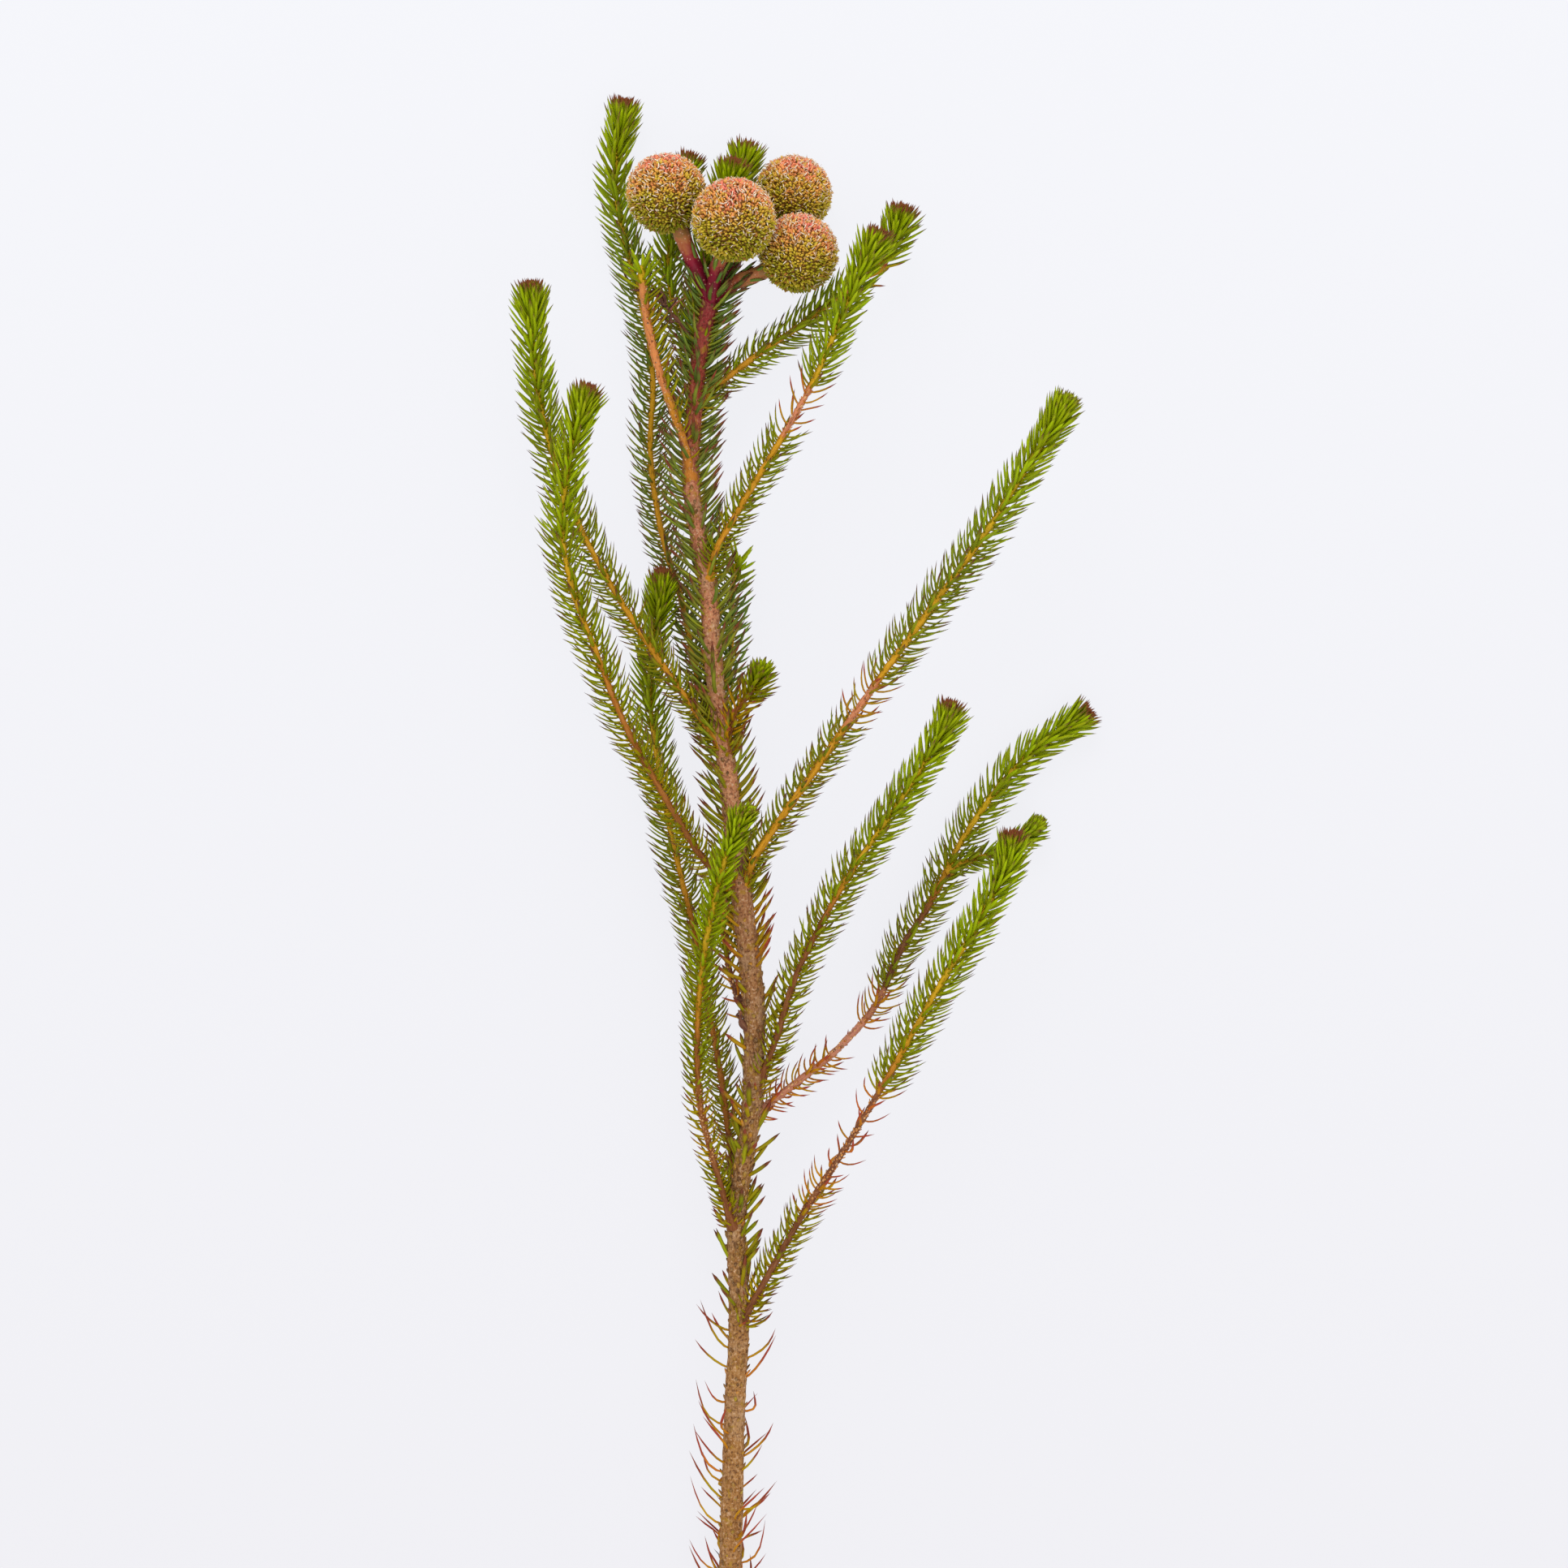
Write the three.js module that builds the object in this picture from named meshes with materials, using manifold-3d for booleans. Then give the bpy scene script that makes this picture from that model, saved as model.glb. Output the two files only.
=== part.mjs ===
// Berzelia stem: a cut branch about 400 mm long that lies on its side.
// One woody main stem carries thin shoots covered with needle leaves and, at its top, four round
// flower heads on fleshy stalks. Units are millimetres and +Z is up. The branch runs along Y with
// its heads at +Y, and the origin is on the surface that it lies on, under the middle of the branch.

import * as THREE from 'three';
import { mergeVertices } from 'three/addons/utils/BufferGeometryUtils.js';
import { ConvexGeometry } from 'three/addons/geometries/ConvexGeometry.js';
import Module from 'manifold-3d';

// Needles: free length, radius of the three-sided section, spacing along a twig, lean from the twig in
// degrees, how much of a twig's half thickness a root is sunk, how far a fully curled leaf bends as a
// share of its length, and the share of needles that a bare stretch lacks.
const needleLength = 5.8;
const needleRadius = 0.38;
const needleSpacing = 1.85;
const needleLean = 43;
const rootShare = 0.7;
const curlReach = 0.4;
const bareShare = 0.7;

// The brush of needles at each tip: how many, how long, their lean at its foot and at its top, and how
// far down the twig it starts. The twig itself ends short of its route, inside the brush.
const tuftNeedles = 11;
const tuftLength = 5.4;
const tuftLean = [36, 24];
const tuftDepth = 5.5;
const brushOverhang = 1.6;

// Clearances between neighbouring pieces, and above the surface that the branch lies on.
const gap = 0.3;
const needleGap = 0.2;
const surfaceGap = 0.05;
const barkClearance = 3.4;

// Flat sides round each rod, and the length of its straight stretches.
const twigSides = 5;
const twigStep = 12;
const stemSides = 8;
const stemStep = 9;
const stalkSides = 6;
const stalkStep = 7;
const framesPerRod = 400;
const stemSamples = 300;

// Stalks swell from the fork to the head.
const stalkRadii = [1.15, 1.6];

// Florets on a head, and how deep the valleys between them are as a share of the head's radius.
const floretsPerHead = 112;
const floretDepth = 0.075;
const goldenAngle = Math.PI * (3 - Math.sqrt(5));

const barkColour = 0x7a5a3c;
const stalkColour = 0x8a1f38;
const headColour = 0xa8803e;

const wasm = await Module();
wasm.setup();

// The main stem's route from the cut end to the fork under the heads, with its radius at each point.
const stemRoute = [
  [-19, -202.5, 2.2, 2.45], [-18.5, -167.5, 4.2, 2.4], [-17.5, -127, 8, 2.35], [-16.5, -91.5, 12, 2.2],
  [-15.5, -69.5, 14, 2.1], [-16, -47.5, 16, 1.9], [-13, -26, 18, 1.95], [-12, -9.5, 19, 2.15],
  [-12.5, 4, 20.5, 2.2], [-15, 24.5, 22, 1.95], [-17.5, 47, 21.5, 1.7], [-20.5, 69.5, 21, 1.5],
  [-22.5, 92.5, 19.5, 1.45], [-26, 114.5, 17.5, 1.4], [-25.5, 130.5, 16.5, 1.35],
  [-24, 145, 16.5, 1.35], [-21.5, 157, 17, 1.4],
];

// Zones of leaves on the main stem: y from and to, spacing, lean, length, and how far a leaf curls.
const stemZones = [
  { from: -170, to: -70, spacing: 4.6, lean: 58, length: 7, curl: 1.1 },
  { from: -66, to: -12, spacing: 2.5, lean: 34, length: 7.8, curl: 0 },
  { from: -10, to: 14, spacing: 5.5, lean: 40, length: 6, curl: 0 },
  { from: 15, to: 154, spacing: 1.2, lean: 46, length: 7.8, curl: 0 },
];

// Flower heads: centre and radius, and the route of the stalk from the top of the main stem.
const heads = [
  { name: 'left', centre: [-31.5, 179, 20], radius: 8.7,
    stalk: [[-21.9, 155, 17], [-24, 160.5, 17.5], [-26.5, 166, 18.5], [-31.5, 179, 20]] },
  { name: 'front', centre: [-16.5, 172, 29.6], radius: 9.05,
    stalk: [[-21.6, 155.5, 17.4], [-20.5, 162, 21], [-18.5, 167, 25], [-16.5, 172, 29.6]] },
  { name: 'back', centre: [-3.5, 180.5, 7.6], radius: 8.5,
    stalk: [[-21.6, 155, 16.5], [-17.5, 163.5, 12.5], [-14, 170.5, 9.5], [-3.5, 180.5, 7.6]] },
  { name: 'right', centre: [-2.3, 165.8, 20.2], radius: 8.55,
    stalk: [[-21.6, 155.5, 17], [-16.5, 159.5, 17.8], [-10, 162, 19], [-2.3, 165.8, 20.2]] },
];

// Shoots: route from the main stem to the tip, twig radius at the base and at the tip, and colour.
// A stretch listed in bare, as shares of the length, carries only a few needles.
const shoots = [
  { name: 'shoot_centre_front', twig: [0.85, 0.6], colour: 0x6f9a14, bare: [],
    route: [[-16.5, -50, 16.5], [-18.5, -44, 18.5], [-21.5, -33, 21], [-24, -22, 24], [-24.5, -7.5, 28],
      [-23.5, 7, 32], [-21, 21.5, 37], [-18, 33, 41], [-15, 40, 44], [-13.5, 42, 45]] },
  { name: 'shoot_left_front', twig: [0.95, 0.6], colour: 0x5f7a12, bare: [],
    route: [[-15, 24.5, 22], [-17.5, 27.5, 23.8], [-22, 30.5, 25.5], [-29.5, 42, 28], [-40.5, 62, 31],
      [-47, 78.5, 32], [-52, 92, 33], [-54, 106, 33], [-52, 120.5, 34], [-49.5, 130, 35],
      [-48.5, 133, 35]] },
  { name: 'shoot_left_outer', twig: [0.9, 0.6], colour: 0x5f8214, bare: [],
    route: [[-18.5, 55.5, 21.4], [-22.5, 61, 22.5], [-30, 71.5, 22.5], [-39.5, 85.5, 22],
      [-49, 102, 21], [-55, 116, 19], [-59.5, 132.5, 18], [-61, 145, 19], [-61.5, 157, 20]] },
  { name: 'shoot_right_upper', twig: [1, 0.65], colour: 0x547312, bare: [[0.36, 0.42]],
    route: [[-15, 24.5, 22], [-12.5, 31, 24], [-8.5, 37.5, 25], [3, 54, 28], [15, 71, 30],
      [27, 87.5, 31], [39, 104, 32], [46.5, 116, 32], [53.5, 127, 33], [55.5, 131, 34]] },
  { name: 'shoot_right_middle', twig: [0.9, 0.6], colour: 0x547312, bare: [],
    route: [[-12.5, -21.5, 18.3], [-10, -15, 20], [-7, -7, 22], [-3, 6, 24], [7, 25.5, 27],
      [19, 43.5, 29], [29, 59.5, 31], [30.5, 64, 31]] },
  { name: 'shoot_right_lower', twig: [0.9, 0.6], colour: 0x547312, bare: [[0.2, 0.38]],
    route: [[-15.5, -72, 13.9], [-11, -64, 17], [-1.5, -47, 19], [8, -32, 21], [18, -15, 23],
      [27.5, 2, 24], [37.5, 18.5, 25], [43.5, 30.5, 26], [44.5, 35.5, 27]] },
  { name: 'shoot_right_forked', twig: [0.95, 0.65], colour: 0x5a7a16, bare: [[0.02, 0.27]],
    route: [[-13, -26, 18], [-9.5, -23, 16.5], [-3.5, -18.5, 14], [5.5, -11.5, 11], [15, -1, 8.5],
      [20.5, 11, 6.5], [28, 23, 5.4], [34, 35, 4.6], [45, 50.5, 4.2],
      [54, 58.5, 4.2], [61.5, 63.5, 4.5]],
    fork: { twig: [0.75, 0.55], bare: [],
      route: [[30.8, 28.8, 4.9], [35.5, 31, 4.7], [43, 33.5, 4.7], [48.5, 36.5, 5], [51.5, 39.5, 5.3]] } },
  { name: 'shoot_right_top_front', twig: [0.85, 0.6], colour: 0x5f8214, bare: [[0.45, 0.58]],
    route: [[-22.5, 92.5, 19.5], [-20.5, 100, 22], [-14.5, 110.5, 24], [-5.5, 125.5, 26],
      [0.5, 136, 28], [5.5, 147, 29], [11, 159.5, 30], [14.5, 167.5, 31]] },
  { name: 'shoot_right_top_back', twig: [0.85, 0.6], colour: 0x4f6e16, bare: [[0.68, 0.8]],
    route: [[-25.2, 132, 16.5], [-21, 136.5, 14.5], [-11.5, 144, 13], [-3, 150, 12], [8, 158, 12],
      [15, 163.5, 12], [19, 170, 13], [20.5, 175, 14]] },
  { name: 'shoot_left_back', twig: [0.9, 0.6], colour: 0x4f6e12, bare: [],
    route: [[-15.8, -43, 16.4], [-17, -36, 13.2], [-19.5, -17.5, 11], [-22.5, -1, 10], [-26, 17.5, 10],
      [-30, 34, 9.5], [-34, 55, 10], [-35.5, 69.5, 11], [-35, 78.5, 12], [-33.5, 86.5, 14],
      [-32.5, 93.5, 16]] },
  { name: 'shoot_left_tall', twig: [0.9, 0.6], colour: 0x3f6e20, bare: [],
    route: [[-19.2, 58, 21.3], [-22.5, 65, 17], [-24.8, 72.5, 13.5], [-28.5, 89.5, 9], [-33, 105, 6],
      [-35.5, 122.5, 4.5], [-35, 140.5, 4.3], [-38, 158, 4.3], [-42, 173.5, 4.4], [-43.5, 185.5, 4.8],
      [-42, 196, 5.5], [-41.5, 199.5, 6]] },
  { name: 'shoot_left_bare', twig: [0.8, 0.65], colour: 0x9c5a1e, bare: [[0.1, 0.9]],
    route: [[-26, 115, 17.5], [-27, 121.5, 18.8], [-29.5, 129.5, 20.5], [-33, 139.5, 22],
      [-35.5, 150, 23], [-36.5, 157.5, 24], [-37, 161.5, 24]] },
  { name: 'shoot_top_left', twig: [0.8, 0.6], colour: 0x4c7e16, bare: [],
    route: [[-24.2, 141.5, 16.4], [-27, 147, 11.5], [-30, 155, 7.5], [-31.5, 164.5, 5.5],
      [-30.5, 171.5, 5], [-29, 181, 5], [-27, 187.5, 5.2]] },
  { name: 'shoot_top_back', twig: [0.8, 0.6], colour: 0x4c7416, bare: [],
    route: [[-23, 147.5, 16.5], [-21.8, 154, 11.8], [-19.8, 164, 7.5], [-17, 177, 5.8], [-14, 190, 5.3]] },
  { name: 'shoot_top_front', twig: [0.8, 0.6], colour: 0x4c7416, bare: [],
    route: [[-23.8, 144, 16.5], [-25, 155, 13.6], [-22.5, 166, 13.4], [-19.5, 176, 13.8],
      [-17, 185, 15]] },
  { name: 'shoot_inner_right', twig: [0.75, 0.6], colour: 0x4f6e12, bare: [],
    route: [[-18, 54, 21.3], [-17.3, 60, 23.5], [-15.5, 65, 25], [-12.5, 69, 27.5], [-10.5, 73, 29]] },
  { name: 'shoot_inner_back', twig: [0.75, 0.6], colour: 0x3a7040, bare: [],
    route: [[-20.3, 67, 21.1], [-17.5, 75, 13.5], [-17.2, 83.5, 9.5], [-17, 91.5, 7.5], [-16, 98.5, 7]] },
  { name: 'shoot_centre_short', twig: [0.75, 0.6], colour: 0x4c5c14, bare: [[0.1, 0.5]],
    route: [[-12.6, -4, 19.7], [-16, 2, 17.5], [-17.5, 6.5, 16.5], [-18.5, 12.5, 16],
      [-19.5, 19, 16], [-19, 24.5, 16.5]] },
];

// A repeatable source of random numbers between 0 and 1.
let seed = 20251;
function random() {
  seed = (seed * 1664525 + 1013904223) % 4294967296;
  return seed / 4294967296;
}

function vector(point) {
  return new THREE.Vector3(point[0], point[1], point[2]);
}

function curveThrough(route) {
  return new THREE.CatmullRomCurve3(route.map(vector), false, 'centripetal');
}

// A rod: a curve with a thickness, made of straight lengths with flat sides. It stops short of its
// route's end by the trim. Places along it are shares of the whole route's length.
function makeRod(route, sides, step, radiusAt, trim = 0) {
  const curve = curveThrough(route);
  const length = curve.getLength();
  const end = 1 - trim / length;
  const rings = Math.max(2, Math.round((length * end) / step));
  const frames = curve.computeFrenetFrames(framesPerRod, false);
  const ringPoints = [];
  for (let i = 0; i <= rings; i += 1) ringPoints.push(curve.getPointAt((i / rings) * end));
  const centreAt = (share) => {
    const place = Math.min((share / end) * rings, rings);
    const index = Math.min(Math.floor(place), rings - 1);
    return ringPoints[index].clone().lerp(ringPoints[index + 1], place - index);
  };
  const outwardAt = (share, angle) => {
    const index = Math.round(share * framesPerRod);
    return frames.normals[index].clone().multiplyScalar(Math.sin(angle))
      .addScaledVector(frames.binormals[index], -Math.cos(angle));
  };
  return { curve, length, sides, rings, radiusAt, centreAt, outwardAt, end };
}

// The closed surface of a rod: a cylinder whose rings are carried onto the curve.
function rodGeometry(rod, extraRadius = 0) {
  const geometry = new THREE.CylinderGeometry(1, 1, 1, rod.sides, rod.rings);
  const position = geometry.attributes.position;
  for (let i = 0; i < position.count; i += 1) {
    const share = (position.getY(i) + 0.5) * rod.end;
    const reach = Math.hypot(position.getX(i), position.getZ(i));
    const angle = Math.atan2(position.getX(i), position.getZ(i));
    const point = rod.centreAt(share)
      .addScaledVector(rod.outwardAt(share, angle), reach * (rod.radiusAt(share) + extraRadius));
    position.setXYZ(i, point.x, point.y, point.z);
  }
  return geometry;
}

function toSolid(geometry) {
  const plain = geometry.clone();
  plain.deleteAttribute('normal');
  plain.deleteAttribute('uv');
  const merged = mergeVertices(plain, 1e-4);
  return new wasm.Manifold(new wasm.Mesh({
    numProp: 3,
    vertProperties: new Float32Array(merged.attributes.position.array),
    triVerts: new Uint32Array(merged.index.array),
  }));
}

function toGeometry(solid) {
  const mesh = solid.getMesh();
  const geometry = new THREE.BufferGeometry();
  geometry.setAttribute('position', new THREE.BufferAttribute(mesh.vertProperties, 3));
  geometry.setIndex(new THREE.BufferAttribute(mesh.triVerts, 1));
  geometry.computeVertexNormals();
  return geometry;
}

// What a needle has to stay clear of: rods, needles and heads as thick line segments.
const obstacles = [];

function addObstacle(owner, start, end, radius) {
  obstacles.push({ owner, start, end, radius });
}

function addRodObstacles(owner, rod) {
  const pieces = Math.ceil(rod.length / 4);
  for (let i = 0; i < pieces; i += 1) {
    const start = (i / pieces) * rod.end;
    const end = ((i + 1) / pieces) * rod.end;
    addObstacle(owner, rod.curve.getPointAt(start), rod.curve.getPointAt(end), rod.radiusAt(start));
  }
}

// The shortest distance between two line segments.
function segmentDistance(a, b, c, d) {
  const ab = b.clone().sub(a);
  const cd = d.clone().sub(c);
  const ca = a.clone().sub(c);
  const abab = ab.dot(ab);
  const cdcd = Math.max(cd.dot(cd), 1e-9);
  const abcd = ab.dot(cd);
  const abca = ab.dot(ca);
  const cdca = cd.dot(ca);
  const spread = abab * cdcd - abcd * abcd;
  let s = spread > 1e-9 ? THREE.MathUtils.clamp((abcd * cdca - abca * cdcd) / spread, 0, 1) : 0;
  const t = THREE.MathUtils.clamp((abcd * s + cdca) / cdcd, 0, 1);
  s = THREE.MathUtils.clamp((abcd * t - abca) / abab, 0, 1);
  return ab.multiplyScalar(s).add(a).distanceTo(cd.multiplyScalar(t).add(c));
}

function isClear(owner, start, end, radius) {
  if (Math.min(start.z, end.z) < surfaceGap) return false;
  return obstacles.every((other) => other.owner === owner
    || segmentDistance(start, end, other.start, other.end) > radius + other.radius + needleGap);
}

// A three-sided needle with its keel below, straight, or curled towards the rod's own direction.
function needleSolid(root, direction, length, curl, along) {
  const rings = curl > 0 ? 3 : 1;
  const geometry = new THREE.ConeGeometry(needleRadius, length, 3, rings);
  geometry.translate(0, length / 2, 0);
  const side = direction.clone().cross(along).normalize();
  const keel = side.clone().cross(direction);
  geometry.applyMatrix4(new THREE.Matrix4().makeBasis(side, direction, keel));
  const position = geometry.attributes.position;
  const point = new THREE.Vector3();
  for (let i = 0; i < position.count; i += 1) {
    point.fromBufferAttribute(position, i);
    const share = THREE.MathUtils.clamp(point.dot(direction) / length, 0, 1);
    point.addScaledVector(along, curl * length * curlReach * share * share).add(root);
    position.setXYZ(i, point.x, point.y, point.z);
  }
  return toSolid(geometry);
}

// Ways to place a needle, best first: sides further round, more turn, more lean, share of length.
const needleTries = [[0, 0, 0, 1], [0, 0.4, 0, 1], [0, -0.4, -4, 1], [1, 0, -4, 1], [-1, 0, -4, 1],
  [0, 0, -14, 1], [1, 0.3, -14, 0.95], [-1, -0.3, -14, 0.95], [0, 0, -24, 0.85]];

// Places one needle where it is clear of everything else, moving or shortening it if it must.
function placeNeedle(owner, rod, share, side, lean, length, curl = 0) {
  const tangent = rod.curve.getTangentAt(share);
  const middleOfSide = rod.radiusAt(share) * Math.cos(Math.PI / rod.sides);
  const jitter = 0.5 * (random() - 0.5);
  for (const [sidesOn, turn, extraLean, scale] of needleTries) {
    const sideAngle = ((side + sidesOn + 0.5) / rod.sides) * Math.PI * 2;
    const tilt = THREE.MathUtils.degToRad(Math.max(lean + extraLean, 8));
    const direction = tangent.clone().multiplyScalar(Math.cos(tilt))
      .addScaledVector(rod.outwardAt(share, sideAngle + jitter + turn), Math.sin(tilt));
    const sunk = (rootShare * middleOfSide) / Math.sin(tilt);
    const whole = sunk + length * scale;
    const root = rod.centreAt(share)
      .addScaledVector(rod.outwardAt(share, sideAngle), middleOfSide)
      .addScaledVector(direction, -sunk);
    const end = root.clone().addScaledVector(direction, whole)
      .addScaledVector(tangent, curl * whole * curlReach);
    const middle = root.clone().addScaledVector(direction, 0.5 * whole)
      .addScaledVector(tangent, curl * whole * curlReach * 0.25);
    if (isClear(owner, root.clone().lerp(middle, 0.3), middle, needleRadius)
      && isClear(owner, middle, end, needleRadius * 0.6)) {
      addObstacle(owner, root, middle, needleRadius);
      addObstacle(owner, middle, end, needleRadius * 0.6);
      return needleSolid(root, direction, whole, curl, tangent);
    }
  }
  return null;
}

function isBare(bare, share) {
  return bare.some(([from, to]) => share > from && share < to);
}

// The needles along one shoot, and the brush of forward-pointing ones at its tip. Each needle
// stands two fifths of a turn round the twig from the one before.
function shootNeedles(owner, rod, bare, start) {
  const tuftStart = rod.length * rod.end - tuftDepth;
  const solids = [];
  let side = 0;
  for (let s = start; s < tuftStart; s += needleSpacing) {
    const share = s / rod.length;
    side += 2;
    if (isBare(bare, share) && random() < bareShare) continue;
    const lean = needleLean + 6 * (random() - 0.5) - 6 * share;
    solids.push(placeNeedle(owner, rod, share, side, lean, needleLength * (0.92 + 0.16 * random())));
  }
  for (let i = 0; i < tuftNeedles; i += 1) {
    const along = i / (tuftNeedles - 1);
    side += 2;
    const share = (tuftStart + tuftDepth * 0.95 * along) / rod.length;
    const lean = THREE.MathUtils.lerp(tuftLean[0], tuftLean[1], along);
    solids.push(placeNeedle(owner, rod, share, side, lean, tuftLength));
  }
  return solids.filter((solid) => solid !== null);
}

const stemLow = stemRoute[0][1];
const stemHigh = stemRoute[stemRoute.length - 1][1];

function stemRadiusAt(share) {
  const y = THREE.MathUtils.lerp(stemLow, stemHigh, share);
  const next = Math.max(1, stemRoute.findIndex((point) => point[1] >= y - 1e-6));
  const [, fromY, , fromRadius] = stemRoute[next - 1];
  const [, toY, , toRadius] = stemRoute[next];
  return THREE.MathUtils.mapLinear(y, fromY, toY, fromRadius, toRadius);
}

function twigRod(twig, route) {
  const radiusAt = (share) => THREE.MathUtils.lerp(twig[0], twig[1], share);
  return makeRod(route, twigSides, twigStep, radiusAt, brushOverhang);
}

const stem = makeRod(stemRoute, stemSides, stemStep, stemRadiusAt);
const stemSleeve = toSolid(rodGeometry(stem, gap));

// How far along a shoot its first needle stands: just clear of the main stem's bark.
function firstNeedle(rod) {
  let s = 0;
  let distance = 0;
  while (s < rod.length && distance < barkClearance) {
    s += 0.5;
    const point = rod.curve.getPointAt(Math.min(s / rod.length, 1));
    distance = Infinity;
    for (let i = 0; i <= stemSamples; i += 1) {
      distance = Math.min(distance, stem.curve.getPointAt(i / stemSamples).distanceTo(point));
    }
  }
  return s;
}

const group = new THREE.Group();

function addNode(name, solid, colour, roughness) {
  const material = new THREE.MeshStandardMaterial({ color: colour, roughness, metalness: 0 });
  const mesh = new THREE.Mesh(toGeometry(solid), material);
  mesh.name = name;
  group.add(mesh);
}

// A flower head: a ball whose surface rises to a bump at each floret, evenly spread in a spiral.
function headGeometry(head) {
  const florets = [];
  for (let i = 0; i < floretsPerHead; i += 1) {
    const height = 1 - (2 * i + 1) / floretsPerHead;
    const fromPole = Math.acos(height);
    florets.push(new THREE.Vector3().setFromSphericalCoords(1, fromPole, i * goldenAngle));
  }
  const hull = new ConvexGeometry(florets).attributes.position;
  const valleys = [];
  for (let i = 0; i < hull.count; i += 3) {
    const corners = [0, 1, 2].map((k) => new THREE.Vector3().fromBufferAttribute(hull, i + k));
    valleys.push(corners[0].add(corners[1]).add(corners[2]).normalize());
  }
  const geometry = new ConvexGeometry([...florets, ...valleys]);
  const position = geometry.attributes.position;
  const point = new THREE.Vector3();
  for (let i = 0; i < position.count; i += 1) {
    point.fromBufferAttribute(position, i);
    const isFloret = florets.some((floret) => floret.distanceTo(point) < 1e-5);
    point.multiplyScalar(head.radius * (isFloret ? 1 : 1 - floretDepth)).add(vector(head.centre));
    position.setXYZ(i, point.x, point.y, point.z);
  }
  return geometry;
}

shoots.forEach((shoot) => {
  shoot.rod = twigRod(shoot.twig, shoot.route);
  addRodObstacles(shoot.name, shoot.rod);
  if (!shoot.fork) return;
  shoot.fork.rod = twigRod(shoot.fork.twig, shoot.fork.route);
  addRodObstacles(shoot.name, shoot.fork.rod);
});
heads.forEach((head) => {
  const stalkRadius = (share) => THREE.MathUtils.lerp(stalkRadii[0], stalkRadii[1], share);
  head.rod = makeRod(head.stalk, stalkSides, stalkStep, stalkRadius, head.radius + gap);
  addRodObstacles(`stalk_${head.name}`, head.rod);
  addObstacle(`head_${head.name}`, vector(head.centre), vector(head.centre), head.radius);
});
addRodObstacles('main_stem', stem);

const ground = toSolid(new THREE.BoxGeometry(600, 600, 20).translate(0, 0, -10));

// Each stalk is trimmed where it leaves the main stem and its neighbours.
function buildStalks() {
  const cutters = [stemSleeve];
  heads.forEach((head) => {
    let solid = toSolid(rodGeometry(head.rod));
    cutters.forEach((cutter) => {
      solid = solid.subtract(cutter);
    });
    cutters.push(toSolid(rodGeometry(head.rod, gap)));
    addNode(`stalk_${head.name}`, solid, stalkColour, 0.5);
  });
}

function buildHeads() {
  heads.forEach((head) => {
    addNode(`head_${head.name}`, toSolid(headGeometry(head)).subtract(ground), headColour, 0.85);
  });
}

function buildShoots() {
  shoots.forEach((shoot) => {
    const pieces = [toSolid(rodGeometry(shoot.rod))];
    pieces.push(...shootNeedles(shoot.name, shoot.rod, shoot.bare, firstNeedle(shoot.rod)));
    if (shoot.fork) {
      pieces.push(toSolid(rodGeometry(shoot.fork.rod)));
      pieces.push(...shootNeedles(shoot.name, shoot.fork.rod, shoot.fork.bare, 3));
    }
    addNode(shoot.name, wasm.Manifold.union(pieces).subtract(stemSleeve), shoot.colour, 0.6);
  });
}

// The main stem with its own leaves, cut off at a slant, with a small flat where it lies.
function buildMainStem() {
  const pieces = [toSolid(rodGeometry(stem))];
  let side = 0;
  stemZones.forEach((zone) => {
    for (let y = zone.from; y < zone.to; y += zone.spacing) {
      side += 3;
      const lean = zone.lean + 8 * (random() - 0.5);
      const length = zone.length * (0.9 + 0.2 * random());
      const curl = zone.curl * random();
      const share = THREE.MathUtils.inverseLerp(stemLow, stemHigh, y);
      const leaf = placeNeedle('main_stem', stem, share, side, lean, length, curl);
      if (leaf !== null) pieces.push(leaf);
    }
  });
  const slant = new THREE.BoxGeometry(30, 20, 30).rotateZ(0.5);
  const cut = toSolid(slant.translate(stemRoute[0][0], stemLow - 9.5, 5));
  addNode('main_stem', wasm.Manifold.union(pieces).subtract(ground).subtract(cut), barkColour, 0.8);
}

buildStalks();
buildHeads();
buildShoots();
buildMainStem();

export default group;
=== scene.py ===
# A cut berzelia stem that lies on a pale studio floor: a woody main stem, leafy shoots, and four
# flower heads on crimson stalks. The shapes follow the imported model, in metres, with the branch
# along +Y and the floor at z = 0.

import math
from collections import namedtuple
from itertools import accumulate, pairwise

import bpy
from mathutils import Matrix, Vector


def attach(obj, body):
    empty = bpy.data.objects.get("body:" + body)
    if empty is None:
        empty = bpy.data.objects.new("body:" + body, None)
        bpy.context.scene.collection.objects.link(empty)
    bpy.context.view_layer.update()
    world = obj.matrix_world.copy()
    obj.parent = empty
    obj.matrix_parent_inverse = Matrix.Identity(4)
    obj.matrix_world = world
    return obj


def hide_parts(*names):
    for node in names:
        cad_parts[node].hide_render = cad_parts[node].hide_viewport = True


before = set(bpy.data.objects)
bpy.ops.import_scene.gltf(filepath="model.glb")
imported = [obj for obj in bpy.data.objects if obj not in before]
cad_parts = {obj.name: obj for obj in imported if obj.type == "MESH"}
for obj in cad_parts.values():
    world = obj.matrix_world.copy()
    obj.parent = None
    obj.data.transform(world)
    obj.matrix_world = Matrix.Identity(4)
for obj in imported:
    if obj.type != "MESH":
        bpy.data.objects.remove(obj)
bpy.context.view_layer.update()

MM = 0.001


# The studio: a wide sheet of pale paper, lit softly from all round and a little more from the side
# of the flower heads. The camera hangs over the sheet and looks straight down, because the stem
# that stood before it in the photograph lies on its side here.

CAMERA_HEIGHT = 1.0
STEM_HEIGHT = 0.017
VIEW_WIDTH = 0.3478
VIEW_MIDDLE = (-0.0055, 0.0485)
PAPER_SIZE = 6.0
LIT_SPOT = (0, 0.05, 0)
scene = bpy.context.scene


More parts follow.
